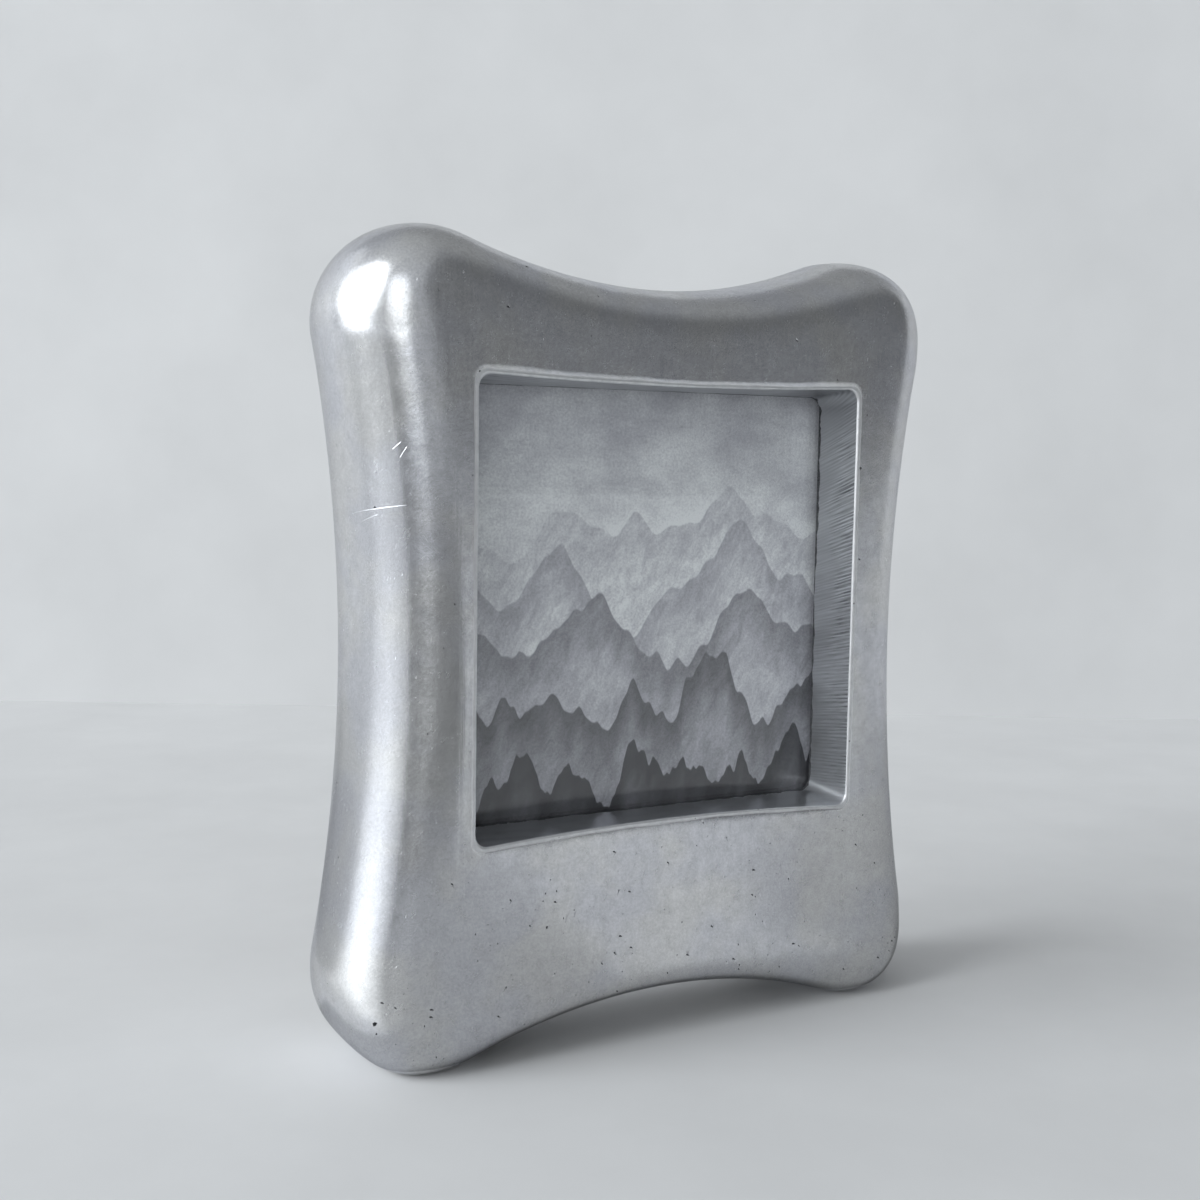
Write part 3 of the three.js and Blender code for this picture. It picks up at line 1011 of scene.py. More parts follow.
def eased(row: np.ndarray, passes: int, regain: float = 0.0) -> np.ndarray:
    """Smooth a closed row of points.

    Args:
        row: The points in order.
        passes: How often each is averaged with its neighbours.
        regain: Share of each step that is taken back, which keeps the row from shrinking.

    Returns:
        The smoothed row.
    """
    for _ in range(passes):
        for step in (0.5, -regain):
            row = row + step * ((np.roll(row, 1, axis=0) + np.roll(row, -1, axis=0)) / 2 - row)
    return row


def blended(rings: Sequence[Ring], passes: int) -> list[Ring]:
    """Smooth rings across one another a number of times, with the first and the last one kept.

    Args:
        rings: The rings in order.
        passes: How often they are smoothed.

    Returns:
        The smoothed rings.
    """
    grid = np.array(rings)
    for _ in range(passes):
        grid[1:-1] = (grid[:-2] + 2 * grid[1:-1] + grid[2:]) / 4
    return list(grid)


def smoothstep(value: np.ndarray) -> np.ndarray:
    """A smooth rise from 0 to 1, held outside that."""
    held = np.clip(value, 0, 1)
    return held * held * (3 - 2 * held)


def wall_mesh(name: str, rings: Sequence[Ring]) -> Mesh:
    """Skin a closed chain of rings, the last one joined to the first.

    Args:
        name: Name of the mesh.
        rings: Rings of equally many points, each a row of x, y and z.

    Returns:
        The mesh, with faces that point outwards when the rings run round the metal.
    """
    count = len(rings[0])
    here = np.arange(count)
    beside = (here + 1) % count
    faces = []
    for number in range(len(rings)):
        start, end = number * count, (number + 1) % len(rings) * count
        faces.append(np.column_stack([start + here, end + here, end + beside, start + beside]))
    mesh = bpy.data.meshes.new(name)
    mesh.from_pydata(np.concatenate(rings).tolist(), [], np.concatenate(faces).tolist())
    return mesh


def turned_mesh(name: str, rings: Sequence[Ring], foot: Numbers, top: Numbers) -> Mesh:
    """Skin rings from one end point to another.

    Args:
        name: Name of the mesh.
        rings: Rings of equally many points.
        foot: The point that closes the first ring.
        top: The point that closes the last ring.

    Returns:
        The closed mesh.
    """
    count = len(rings[0])
    points = [*np.concatenate(rings).tolist(), list(foot), list(top)]
    base, tip = len(points) - 2, len(points) - 1
    last = (len(rings) - 1) * count
    faces: list[list[int]] = []
    for i in range(count):
        j = (i + 1) % count
        faces.append([base, i, j])
        faces.append([tip, last + j, last + i])
        for row in range(0, last, count):
            faces.append([row + i, row + count + i, row + count + j, row + j])
    mesh = bpy.data.meshes.new(name)
    mesh.from_pydata(points, [], faces)
    return mesh


def new_piece(name: str, mesh: Mesh) -> Piece:
    """Put a mesh into the scene as an object at the origin.

    Args:
        name: Its name.
        mesh: Its mesh.

    Returns:
        The object.
    """
    piece = bpy.data.objects.new(name, mesh)
    bpy.context.scene.collection.objects.link(piece)
    return piece


def round_off(mesh: Mesh, sharpest: float = 38.0) -> None:
    """Shade a mesh smooth, apart from edges sharper than an angle in degrees."""
    mesh.shade_smooth()
    mesh.set_sharp_from_angle(angle=math.radians(sharpest))


def settle(piece: Piece, body: str, slot: str, *nodes: str) -> Piece:
    """Hand a finished piece to the frame.

    Args:
        piece: The piece, in its place.
        body: The body that it moves with.
        slot: The record's material slot; not used.
        nodes: The nodes that it stands for.

    Returns:
        The same piece.
    """
    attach(piece, body)
    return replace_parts(piece, *nodes)


# Sub-assemblies
@dataclass
class Casting:
    """The lobed aluminium body: polished skin, drafted window, rebate and rear well."""

    # Outline, with its lower left lobe fuller between two angles
    lobe_radius: float = 17.3 * MM
    side_sag: float = 5.25 * MM
    top_sag: float = 8.35 * MM
    foot_cut: float = 0.5 * MM
    foot_swell: float = 0.85 * MM
    swell_start: Pair = (-8.0, 42.0)
    swell_end: Pair = (98.0, 45.0)
    # Roundings of the front and the back edge
    side_round: float = 15.4 * MM
    top_round: float = 8.9 * MM
    foot_round: float = 4.8 * MM
    foot_depth: Pair = (9.0 * MM, 10.2 * MM)
    arch_round: float = 5.0 * MM
    arch_depth: float = 10.6 * MM
    arch_run: float = 14.0 * MM
    back_round: float = 5.5 * MM
    back_round_depth: float = 11.0 * MM
    edge_flat: float = 0.5 * MM
    fullness: float = 0.88
    # Rear well and window
    rim_wall: float = 7.5 * MM
    well_draft: float = 0.6 * MM
    window_half: Pair = (40.5 * MM, 41.25 * MM)
    window_draft: float = 1.4 * MM
    window_corner: float = 2.5 * MM
    bow_top: float = 1.0 * MM
    bow_bottom: float = 1.6 * MM
    # Worn lip, with the turns, start and share of its waves, and the window's rough back edge, dark with
    # painted shade of the gap at the glass
    lip: float = 0.42 * MM
    lip_waves: tuple[Triple, ...] = ((3, 1.1, 0.12), (11, 0.4, 0.08), (29, 0.0, 0.05))
    groove: Pair = (0.45 * MM, 0.05 * MM)
    raw_edge: float = 0.05
    raw_shade_waves: Pair = (1.6, 0.3)
    raw_shade_limits: Pair = (0.005, 0.1)
    raw_shade_passes: int = 8
    raw_shade_seed: int = 5
    # Gaps round the glass and small roundings
    lay_gap: float = 0.1 * MM
    fit_gap: float = 0.3 * MM
    small_edge: float = 0.4 * MM
    # Points round the outline and the window, rings across the metal, and smoothing
    lobe_steps: int = 62
    side_steps: int = 92
    top_steps: int = 74
    corner_steps: int = 40
    straight_steps: int = 160
    lip_steps: int = 7
    groove_steps: int = 3
    wall_steps: int = 10
    face_steps: int = 16
    front_steps: int = 28
    flank_steps: int = 5
    back_steps: int = 16
    small_steps: int = 4
    well_steps: int = 6
    ledge_steps: int = 3
    outline_passes: int = 40
    outline_regain: float = 0.52
    face_passes: int = 200
    skin_passes: int = 12
    # Hand-polished ripple and pores
    ripple: float = 0.025 * MM
    ripple_size: float = 19.0 * MM
    pore_band: Pair = (48 * MM, 20 * MM)
    pore_face: Pair = (3 * MM, 2 * MM)
    pore_least: float = 0.1
    pore_spacing: float = 0.8 * MM
    pores_per_area: float = 130000.0
    pore_cluster: float = 8.0 * MM
    cluster_edge: Pair = (0.4, 0.65)
    cluster_share: Pair = (0.08, 1.0)
    smallest_pore: float = 0.06 * MM
    largest_pore: float = 0.25 * MM
    pore_rarity: float = 4.0
    pore_stretch: Triple = (1.4, 0.75, 0.8)
    pore_lumps: float = 1.4
    pore_swell: float = 1.8
    pore_seed: int = 11
    # The larger flaws, by x, y, z and radius in millimetres
    flaws: tuple[Four, ...] = (
        (-57.9, -11.9, 11.3, 0.45),
        (-57.7, -12.2, 9.6, 0.25),
        (-58.6, -4.2, 4.9, 0.35),
        (-30.4, -11.7, 141.8, 0.35),
        (-26.4, -15.1, 24.9, 0.3),
        (-34.4, -15.1, 15.0, 0.25),
        (41.6, -15.0, 107.9, 0.3),
    )
    # Size of the block that is ground away below the feet
    ground_block: Triple = (0.3, 0.1, 0.02)
    points: np.ndarray = field(init=False)
    normals: np.ndarray = field(init=False)
    aim: np.ndarray = field(init=False)

    def __post_init__(self) -> None:
        """Take depths and reach from the frame and draw the outline."""
        low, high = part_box("frame_casting")
        glass_low, glass_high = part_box("glazing_pane")
        self.front, self.back = low.y, high.y
        self.ledge = glass_low.y - self.lay_gap
        self.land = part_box("back_panel")[1].y
        self.window_z = (glass_low.z + glass_high.z) / 2
        self.rebate_half = glass_high.x + self.fit_gap
        self.lobe_x = high.x - self.lobe_radius
        self.lobe_z = (high.z + self.foot_cut) / 2 - self.lobe_radius
        self.middle_z = high.z - self.lobe_z - self.lobe_radius
        self.draw_outline()

    def sag_radius(self, lobe: float, sag: float) -> float:
        """Radius of the hollow arc that joins two lobes, at this distance from the middle."""
        return (lobe**2 + (self.lobe_radius - sag) ** 2 - self.lobe_radius**2) / (2 * sag)

    def draw_outline(self) -> None:
        """Lay out the outline's points and outward normals, counter-clockwise from the front."""
        waist_x = self.lobe_x + self.lobe_radius - self.side_sag
        waist_z = self.lobe_z + self.lobe_radius - self.top_sag
        side_radius = self.sag_radius(self.lobe_z, self.side_sag)
        top_radius = self.sag_radius(self.lobe_x, self.top_sag)
        side_turn = math.atan2(self.lobe_z, waist_x + side_radius - self.lobe_x)
        top_turn = math.atan2(self.lobe_x, waist_z + top_radius - self.lobe_z)
        side = (side_turn, side_radius, waist_x, self.side_steps)
        top = (top_turn, top_radius, waist_z, self.top_steps)
        points = []
        for number in range(4):
            start, end = number * QUARTER, (number + 1) * QUARTER
            (before, *_), (after, radius, waist, steps) = (side, top) if number % 2 == 0 else (top, side)
            lobe = np.linspace(start - before, end + after, self.lobe_steps, endpoint=False)
            hollow = np.linspace(end + after, end - after, steps, endpoint=False)
            lower_left = number == 2
            reach = self.lobe_radius + lower_left * self.foot_swell * self.fuller(lobe)
            points.append(quadrant(number) * [self.lobe_x, self.lobe_z] + reach[:, None] * compass(lobe))
            outward = np.array([math.cos(end), math.sin(end)]) * (radius + waist)
            points.append(outward - radius * compass(hollow))
        self.points = eased(np.concatenate(points), self.outline_passes, self.outline_regain)
        along = np.roll(self.points, -1, axis=0) - np.roll(self.points, 1, axis=0)
        length = np.linalg.norm(along, axis=1, keepdims=True)
        self.normals = np.column_stack([along[:, 1], -along[:, 0]]) / length

    def fuller(self, angles: np.ndarray) -> np.ndarray:
        """Where the lower left lobe is fuller than a circle, by degrees back from straight down, at 270.

        Args:
            angles: Angles round the lobe.

        Returns:
            A share for each angle.
        """
        back = 270 - np.degrees(angles)
        grown = smoothstep((back - self.swell_start[0]) / self.swell_start[1])
        return grown * smoothstep((self.swell_end[0] - back) / self.swell_end[1])

    def placed(self, flat: np.ndarray, y: Depth) -> Ring:
        """A flat ring round the middle, set at a depth."""
        return upright(flat, y, self.middle_z)

    def drawn_in(self, inset: Depth) -> np.ndarray:
        """The outline drawn in by an inset, one number or one for each point."""
        return self.points - self.normals * np.reshape(inset, (-1, 1))

    def ring(self, inset: float, y: float) -> Ring:
        """The outline drawn in by an inset and set at a depth."""
        return self.placed(self.drawn_in(inset), y)

    def front_rounding(self, angle: float) -> Ring:
        """One ring of the front rounding, widest on the sides and tightest under the bottom edge.

        Args:
            angle: How far round the ring is, from 0 on the face to a quarter turn on the flank.

        Returns:
            The ring.
        """
        up, down = smoothstep(self.normals[:, 1]), smoothstep(-self.normals[:, 1])
        arch = smoothstep((self.lobe_x - np.abs(self.points[:, 0])) / self.arch_run)
        foot_depth = np.interp(self.points[:, 0], (-self.lobe_x, self.lobe_x), self.foot_depth)
        low_inset = self.foot_round + (self.arch_round - self.foot_round) * arch
        low_depth = foot_depth + (self.arch_depth - foot_depth) * arch
        inset = self.side_round + (self.top_round - self.side_round) * up
        inset = inset + (low_inset - inset) * down
        depth = self.back - self.front - self.back_round_depth - self.edge_flat
        depth = depth + (low_depth - depth) * down
        face = eased(self.drawn_in(inset), self.face_passes)
        out, forward = math.sin(angle) ** self.fullness, max(0.0, math.cos(angle)) ** self.fullness
        return self.placed(face + (self.points - face) * out, self.front + depth * (1 - forward))

    def back_rounding(self, angle: float) -> Ring:
        """One ring of the back rounding."""
        y = self.back - self.back_round_depth * (1 - math.sin(angle))
        return self.ring(self.back_round * (1 - math.cos(angle)), y)

    def opening(self, half: Numbers, corner: float, y: Depth, bow: float = 0.0) -> Ring:
        """One ring round the window or the rebate, a point on each line from its middle to the outline.

        Args:
            half: Half its width and half its height.
            corner: Radius of its corners.
            y: Its depth.
            bow: Share of the dip of its upper and lower edges.

        Returns:
            The ring.
        """
        inner = np.array(half) - corner
        path = []
        for number in range(4):
            start = number * QUARTER
            angles = np.linspace(start, start + QUARTER, self.corner_steps)
            path.append(quadrant(number) * inner + corner * compass(angles))
            leap = (quadrant(number + 1) - quadrant(number)) * inner
            path.append(path[-1][-1] + leap * np.linspace(0, 1, self.straight_steps)[1:-1, None])
        edge = np.concatenate(path)
        dip = np.where(edge[:, 1] > 0, -self.bow_top, self.bow_bottom) * bow
        dipped = np.abs(edge[:, 1]) > inner[1]
        edge[:, 1] += np.where(dipped, dip * (1 - (edge[:, 0] / half[0]) ** 2), 0)
        way = np.arctan2(edge[:, 1], edge[:, 0])
        reach = np.interp(self.aim, way, np.hypot(edge[:, 0], edge[:, 1]), period=math.tau)
        return upright(reach[:, None] * compass(self.aim), y, self.window_z)

    def window(self, grow: float, y: Depth, bow: float) -> Ring:
        """One ring of the window, grown by an amount on every side."""
        return self.opening([side + grow for side in self.window_half], self.window_corner, y, bow)

    def lip_rings(self) -> list[Ring]:
        """Rings over the worn edge, whose width wanders a little, and a shallow groove beside it.

        Returns:
            The rings, from the window's wall outwards.
        """
        wander = sum(np.sin(turns * self.aim + start) * share for turns, start, share in self.lip_waves)
        flush, grown = self.window(0, self.front, 1), self.window(self.lip, self.front, 1)
        way = (grown - flush) * (1 + wander[:, None])
        width = self.lip * (1 + wander)
        places = [(1 - math.cos(bend), width * (1 - math.sin(bend))) for bend in bends(self.lip_steps)]
        step = self.groove[0] / self.lip / self.groove_steps
        for number in range(1, self.groove_steps + 1):
            places.append((1 + step * number, self.groove[1] * (number < self.groove_steps)))
        rings = []
        for share, sunk in places:
            ring = flush + way * share
            ring[:, 1] = self.front + sunk
            rings.append(ring)
        return rings

    def ragged_share(self) -> np.ndarray:
        """How far the window's dark back edge reaches up its walls, as a ragged share of their depth: rough
        metal with painted shade of the gap at the glass.

        Returns:
            A share for each point of a ring.
        """
        pick = np.random.default_rng(self.raw_shade_seed)
        slow = eased(pick.uniform(-1, 1, len(self.aim)), self.raw_shade_passes)
        fast = pick.uniform(-1, 1, len(self.aim))
        ragged = 1 + self.raw_shade_waves[0] * slow + self.raw_shade_waves[1] * fast
        return np.clip(self.raw_edge * ragged, *self.raw_shade_limits)

    def chain(self) -> list[tuple[Zone, list[Ring]]]:
        """All the rings round the metal, from the ledge out of the window, over the skin and back.

        Returns:
            Runs of rings, each with the finish of the faces that lead up to them.
        """
        face = self.front_rounding(0)
        self.aim = np.arctan2(face[:, 2] - self.window_z, face[:, 0])
        small, half = self.small_edge, self.rebate_half
        lip = self.lip_rings()
        sight = self.window(-self.window_draft, self.ledge - small / 2, 0)
        rough_shaded_rim = sight + (lip[0] - sight) * self.ragged_share()[:, None]
        rounding = [self.front_rounding(bend) for bend in bends(self.front_steps)[1:]]
        flank = between(rounding[-1], self.back_rounding(0), self.flank_steps)
        backing = [self.back_rounding(bend) for bend in bends(self.back_steps)[1:]]
        rim = self.ring(self.rim_wall - small, self.back)
        skin = [lip[-1], *between(lip[-1], face, self.face_steps), *rounding, *flank, *backing, rim]
        floor_inset = self.rim_wall + self.well_draft
        toe = self.ring(floor_inset, self.land + small)
        brow, fillet = [], []
        for bend in bends(self.small_steps)[1:]:
            early, late = small * (1 - math.sin(bend)), small * (1 - math.cos(bend))
            brow.append(self.ring(self.rim_wall - early, self.back - late))
            fillet.append(self.ring(floor_inset + late, self.land + early))
        land_edge = self.opening([half + small / 2] * 2, small, self.land)
        wall = between(brow[-1], toe, self.well_steps)
        well = wall + fillet + between(fillet[-1], land_edge, self.well_steps)
        rebate_top = self.opening([half] * 2, small, self.land - small / 2)
        rebate_foot = self.opening([half] * 2, small, self.ledge)
        ledge_edge = self.window(-self.window_draft + small / 2, self.ledge, 0)
        rebate = [rebate_top, *between(rebate_top, rebate_foot, self.ledge_steps)]
        return [
            # Painted shade: a ragged near-black band at the back of the window walls, where they meet the
            # glass
            (Zone.RAW_EDGE, [sight, rough_shaded_rim]),
            (Zone.FILED, between(rough_shaded_rim, lip[0], self.wall_steps)),
            (Zone.LIP, lip[1:]),
            (Zone.POLISHED, blended(skin, self.skin_passes)[1:] + brow),
            (Zone.AS_CAST, well + rebate + between(rebate_foot, ledge_edge, self.ledge_steps)),
        ]

    def blank(self) -> Mesh:
        """The plain casting, with its finishes and its share of ripple and pores kept as attributes.

        Returns:
            The mesh.
        """
        chain = self.chain()
        rings = [ring for _, run in chain for ring in run]
        zones = [zone for zone, run in chain for _ in run]
        mesh = wall_mesh("casting_blank", rings)
        count = len(rings[0])
        places = np.concatenate(rings)
        outside = np.repeat([zone in (Zone.POLISHED, Zone.LIP) for zone in zones], count)
        low = smoothstep((self.pore_band[0] - places[:, 2]) / self.pore_band[1])
        ahead = smoothstep((self.front + self.pore_face[0] - places[:, 1]) / self.pore_face[1])
        pores = np.where(outside, self.pore_least + (1 - self.pore_least) * (low * ahead), 0.0)
        finish = np.repeat([zone.value for zone in zones[1:] + zones[:1]], count)
        for name, kind, domain, values in (
            ("skin", "FLOAT", "POINT", outside.astype(float)),
            ("pore_share", "FLOAT", "POINT", pores),
            ("zone", "INT", "FACE", finish),
        ):
            mesh.attributes.new(name, kind, domain).data.foreach_set("value", values)
        return mesh

    def flaw_points(self) -> Piece:
        """An object, removed later, that has a point with a radius for each of the larger flaws.

        Returns:
            The object.
        """
        mesh = bpy.data.meshes.new("casting_flaws")
        mesh.from_pydata([[value * MM for value in flaw[:3]] for flaw in self.flaws], [], [])
        radii = [flaw[3] * MM for flaw in self.flaws]
        mesh.attributes.new("radius", "FLOAT", "POINT").data.foreach_set("value", radii)
        return new_piece("casting_flaws", mesh)

    def finish_by_hand(self, piece: Piece, flaws: Piece) -> None:
        """Ripple the polished skin, lay on the finishes, grind the feet flat and open the pores.

        Args:
            piece: The casting, as a blank.
            flaws: The points of its larger flaws.
        """
        tree = PartTree("hand_finish")
        ripple, size, *pore_sizes = [
            tree.input(name, "Float", value)
            for name, value in (
                ("Ripple height", self.ripple),
                ("Ripples per metre", 1 / self.ripple_size),
                ("Pore spacing", self.pore_spacing),
                ("Pores per area", self.pores_per_area),
                ("Pore clusters per metre", 1 / self.pore_cluster),
                ("Smallest pore", self.smallest_pore),
                ("Largest pore", self.largest_pore),
            )
        ]
        seed = tree.input("Seed", "Int", self.pore_seed)
        flaw_object = tree.input("Flaws", "Object", flaws)
        pore_metal = tree.input("Pore metal", "Material", PoreAndShadeMetal("pore_metal").material())
        block = tree.input("Ground block", "Vector", self.ground_block)
        skin = self.rippled(tree, ripple, size)
        metals: dict[Zone, Socket] = {}
        for zone, finish in (
            (Zone.POLISHED, PolishedCasting()),
            (Zone.LIP, WornLip()),
            (Zone.FILED, FiledWall()),
            (Zone.AS_CAST, AsCastSkin()),
            (Zone.RAW_EDGE, PoreAndShadeMetal("raw_edge")),
        ):
            piece.data.materials.append(finish.material())
            metals[zone] = tree.input(f"{zone.name.capitalize()} metal", "Material", piece.data.materials[-1])
            marks = {2: tree.attribute("zone", "INT"), 3: zone.value}
            here = tree.out("FunctionNodeCompare", marks, data_type="INT", operation="EQUAL")
            skin = tree.paint(skin, metals[zone], here)
        skin = self.ground(tree, skin, block, metals[Zone.RAW_EDGE])
        pits = tree.real(self.pore_bodies(tree, skin, flaw_object, (*pore_sizes, seed)))
        tree.apply(piece, tree.cut(skin, tree.paint(pits, pore_metal)))

    @staticmethod
    def rippled(tree: PartTree, ripple: Socket, size: Socket) -> Socket:
        """Move the skin in and out by a slow noise.

        Args:
            tree: The casting's tree.
            ripple: How far it moves.
            size: Ripples in a metre.

        Returns:
            The rippled geometry.
        """
        wave = tree.out("ShaderNodeTexNoise", {"Scale": size, "Detail": 2.0, "Roughness": 0.3})
        swing = tree.times(tree.minus(wave, 0.5), tree.times(ripple, 2.0))
        return tree.swell(tree.start, tree.times(swing, tree.attribute("skin")))

    @staticmethod
    def ground(tree: PartTree, skin: Socket, size: Socket, metal: Socket) -> Socket:
        """Grind the feet flat where the skin reaches below the ground.

        Args:
            tree: The casting's tree.
            skin: The rippled geometry.
            size: Size of the block that is taken away.
            metal: The finish of the ground feet.

        Returns:
            The geometry with flat feet.
        """
        half = tree.out("ShaderNodeVectorMath", {0: size, 1: (0, 0, -0.5)}, operation="MULTIPLY")
        block = tree.out("GeometryNodeMeshCube", {"Size": size})
        block = tree.out("GeometryNodeTransform", {"Geometry": block, "Translation": half})
        return tree.cut(skin, tree.paint(block, metal))

    def pore_bodies(self, tree: PartTree, skin: Socket, flaws: Socket, sizes: Sequence[Socket]) -> Socket:
        """Small lumpy balls where the pores, which lie in clusters, and the larger flaws are.

        Args:
            tree: The casting's tree.
            skin: The geometry that they are scattered on.
            flaws: The object with the larger flaws.
            sizes: Spacing, number for an area, clusters in a metre, smallest and largest radius, and seed.

        Returns:
            The balls, as instances.
        """
        spacing, density, cluster, smallest, largest, seed = sizes
        clumps = tree.out("ShaderNodeTexNoise", {"Scale": cluster, "Detail": 2.0})
        clumps = tree.spread(clumps, self.cluster_edge, self.cluster_share)
        share = tree.times(tree.attribute("pore_share"), clumps)
        inputs = {"Mesh": skin, "Distance Min": spacing, "Density Max": density, "Density Factor": share}
        scatter = tree.add(
            "GeometryNodeDistributePointsOnFaces",
            {**inputs, "Seed": seed},
            distribute_method="POISSON",
        )
        rare = tree.math("POWER", tree.chance(1.0, seed), self.pore_rarity)
        radius = tree.plus(smallest, tree.times(rare, tree.minus(largest, smallest)))
        stretch = {axis: tree.times(radius, part) for axis, part in enumerate(self.pore_stretch)}
        lumps = tree.out("ShaderNodeTexNoise", {"Scale": self.pore_lumps, "Detail": 1.0})
        ball = tree.out("GeometryNodeMeshIcoSphere", {"Radius": 1.0, "Subdivisions": 2})
        ball = tree.swell(ball, tree.times(tree.minus(lumps, 0.5), self.pore_swell))
        turns = {0: scatter.outputs["Rotation"], 1: tree.twist(2, seed)}
        turned = tree.out("FunctionNodeRotateRotation", turns, rotation_space="LOCAL")
        flat = tree.out("ShaderNodeCombineXYZ", stretch)
        pores = tree.repeat(scatter.outputs[0], ball, Rotation=turned, Scale=flat)
        large = tree.repeat(tree.contents(flaws), ball, Scale=tree.attribute("radius"))
        return tree.out("GeometryNodeJoinGeometry", {0: [pores, large]})

    def build(self) -> list[Piece]:
        """Make the casting and hand it to the frame.

        Returns:
            The finished pieces.
        """
        piece = new_piece("lobed_casting", self.blank())
        flaws = self.flaw_points()
        self.finish_by_hand(piece, flaws)
        bpy.data.objects.remove(flaws)
        round_off(piece.data)
        return [settle(piece, "frame", "cast_aluminium", "frame_casting")]


@dataclass
class PictureStack:
    """Glass, print, card and back panel, as they lie in the rebate."""

    panel_edge: float = 0.45 * MM
    panel_steps: int = 3

    def dress(self) -> list[Piece]:
        """Give the flat nodes whose shape is right their finishes.

        Returns:
            The dressed nodes.
        """
        low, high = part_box("photo_print")
        finishes = {
            "glazing_pane": WindowGlass(),
            "photo_print": HillPrint((low.z + high.z) / 2, (high.x - low.x) / 2),
            "backing_card": GreyCard(),
        }
        for name, finish in finishes.items():
            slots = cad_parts[name].data.materials
            slots.clear()
            slots.append(finish.material())
        return [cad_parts[name] for name in finishes]

    def panel(self) -> Piece:
        """Make the hardboard panel with its eased edges.

        Returns:
            The panel.
        """
        low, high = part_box("back_panel")
        shape = bmesh.new()
        size = Matrix.Diagonal((*(high - low), 1.0))
        bmesh.ops.create_cube(shape, size=1.0, matrix=Matrix.Translation((low + high) / 2) @ size)
        bmesh.ops.bevel(
            shape,
            geom=shape.edges[:],
            offset=self.panel_edge,
            segments=self.panel_steps,
            profile=0.5,
            affect="EDGES",
        )
        mesh = bpy.data.meshes.new("hardboard_panel")
        shape.to_mesh(mesh)
        shape.free()
        mesh.materials.append(Hardboard().material())
        round_off(mesh)
        return settle(new_piece("hardboard_panel", mesh), "frame", "hardboard", "back_panel")

    def build(self) -> list[Piece]:
        """Dress the flat pieces and make the panel.

        Returns:
            The finished pieces.
        """
        return [*self.dress(), self.panel()]


@dataclass
class TurnButtons:
    """Four stamped turn buttons, each on a body of its own."""

    eye_radius: float = 3.5 * MM
    tip_radius: float = 2.4 * MM
    reach: float = 10.5 * MM
    bore: float = 1.75 * MM
    edge: float = 0.3 * MM
    edge_steps: int = 5
    face_steps: int = 3
    steps: int = 96

    def outline(self) -> tuple[np.ndarray, np.ndarray]:
        """The drop shape round the eye, pointing down, as points and outward normals.

        Returns:
            The points and the normals.
        """
        taper = math.asin((self.eye_radius - self.tip_radius) / self.reach)
        normals = compass(np.linspace(0, math.tau, self.steps, endpoint=False))
        at_eye = normals[:, 1] > -math.sin(taper)
        tip = normals * self.tip_radius - [0, self.reach]
        return np.where(at_eye[:, None], normals * self.eye_radius, tip), normals

    def blank(self, thickness: float) -> Mesh:
        """One button lying on y = 0, with rolled edges.

        Args:
            thickness: Its thickness.

        Returns:
            The mesh.
        """
        points, normals = self.outline()
        hole = compass(np.arctan2(points[:, 1], points[:, 0])) * self.bore
        hole_low, hole_high = upright(hole, 0.0), upright(hole, thickness)
        low, high = [], []
        for bend in bends(self.edge_steps):
            early, late = 1 - math.sin(bend), 1 - math.cos(bend)
            low.append(upright(points - normals * self.edge * early, self.edge * late))
            high.append(upright(points - normals * self.edge * late, thickness - self.edge * early))
        under = between(hole_low, low[0], self.face_steps)
        over = between(high[-1], hole_high, self.face_steps)[:-1]
        return wall_mesh("turn_button_blank", [hole_high, hole_low, *under, *low[1:], *high, *over])

    def build(self) -> list[Piece]:
        """Place a button at each pivot and hand it to its body.

        Returns:
            The finished pieces.
        """
        metal = BRASS.material()
        pieces = []
        for corner in Corner:
            name = f"turn_button_{corner.label}"
            low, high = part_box(name)
            x, z = corner.pivot()
            mesh = self.blank(high.y - low.y)
            mesh.transform(Matrix.Translation((x, low.y, z)) @ Matrix.Rotation(corner.turn, 4, "Y"))
            mesh.materials.append(metal)
            round_off(mesh)
            pieces.append(settle(new_piece(f"brass_button_{corner.label}", mesh), name, "brass_plate", name))
        return pieces


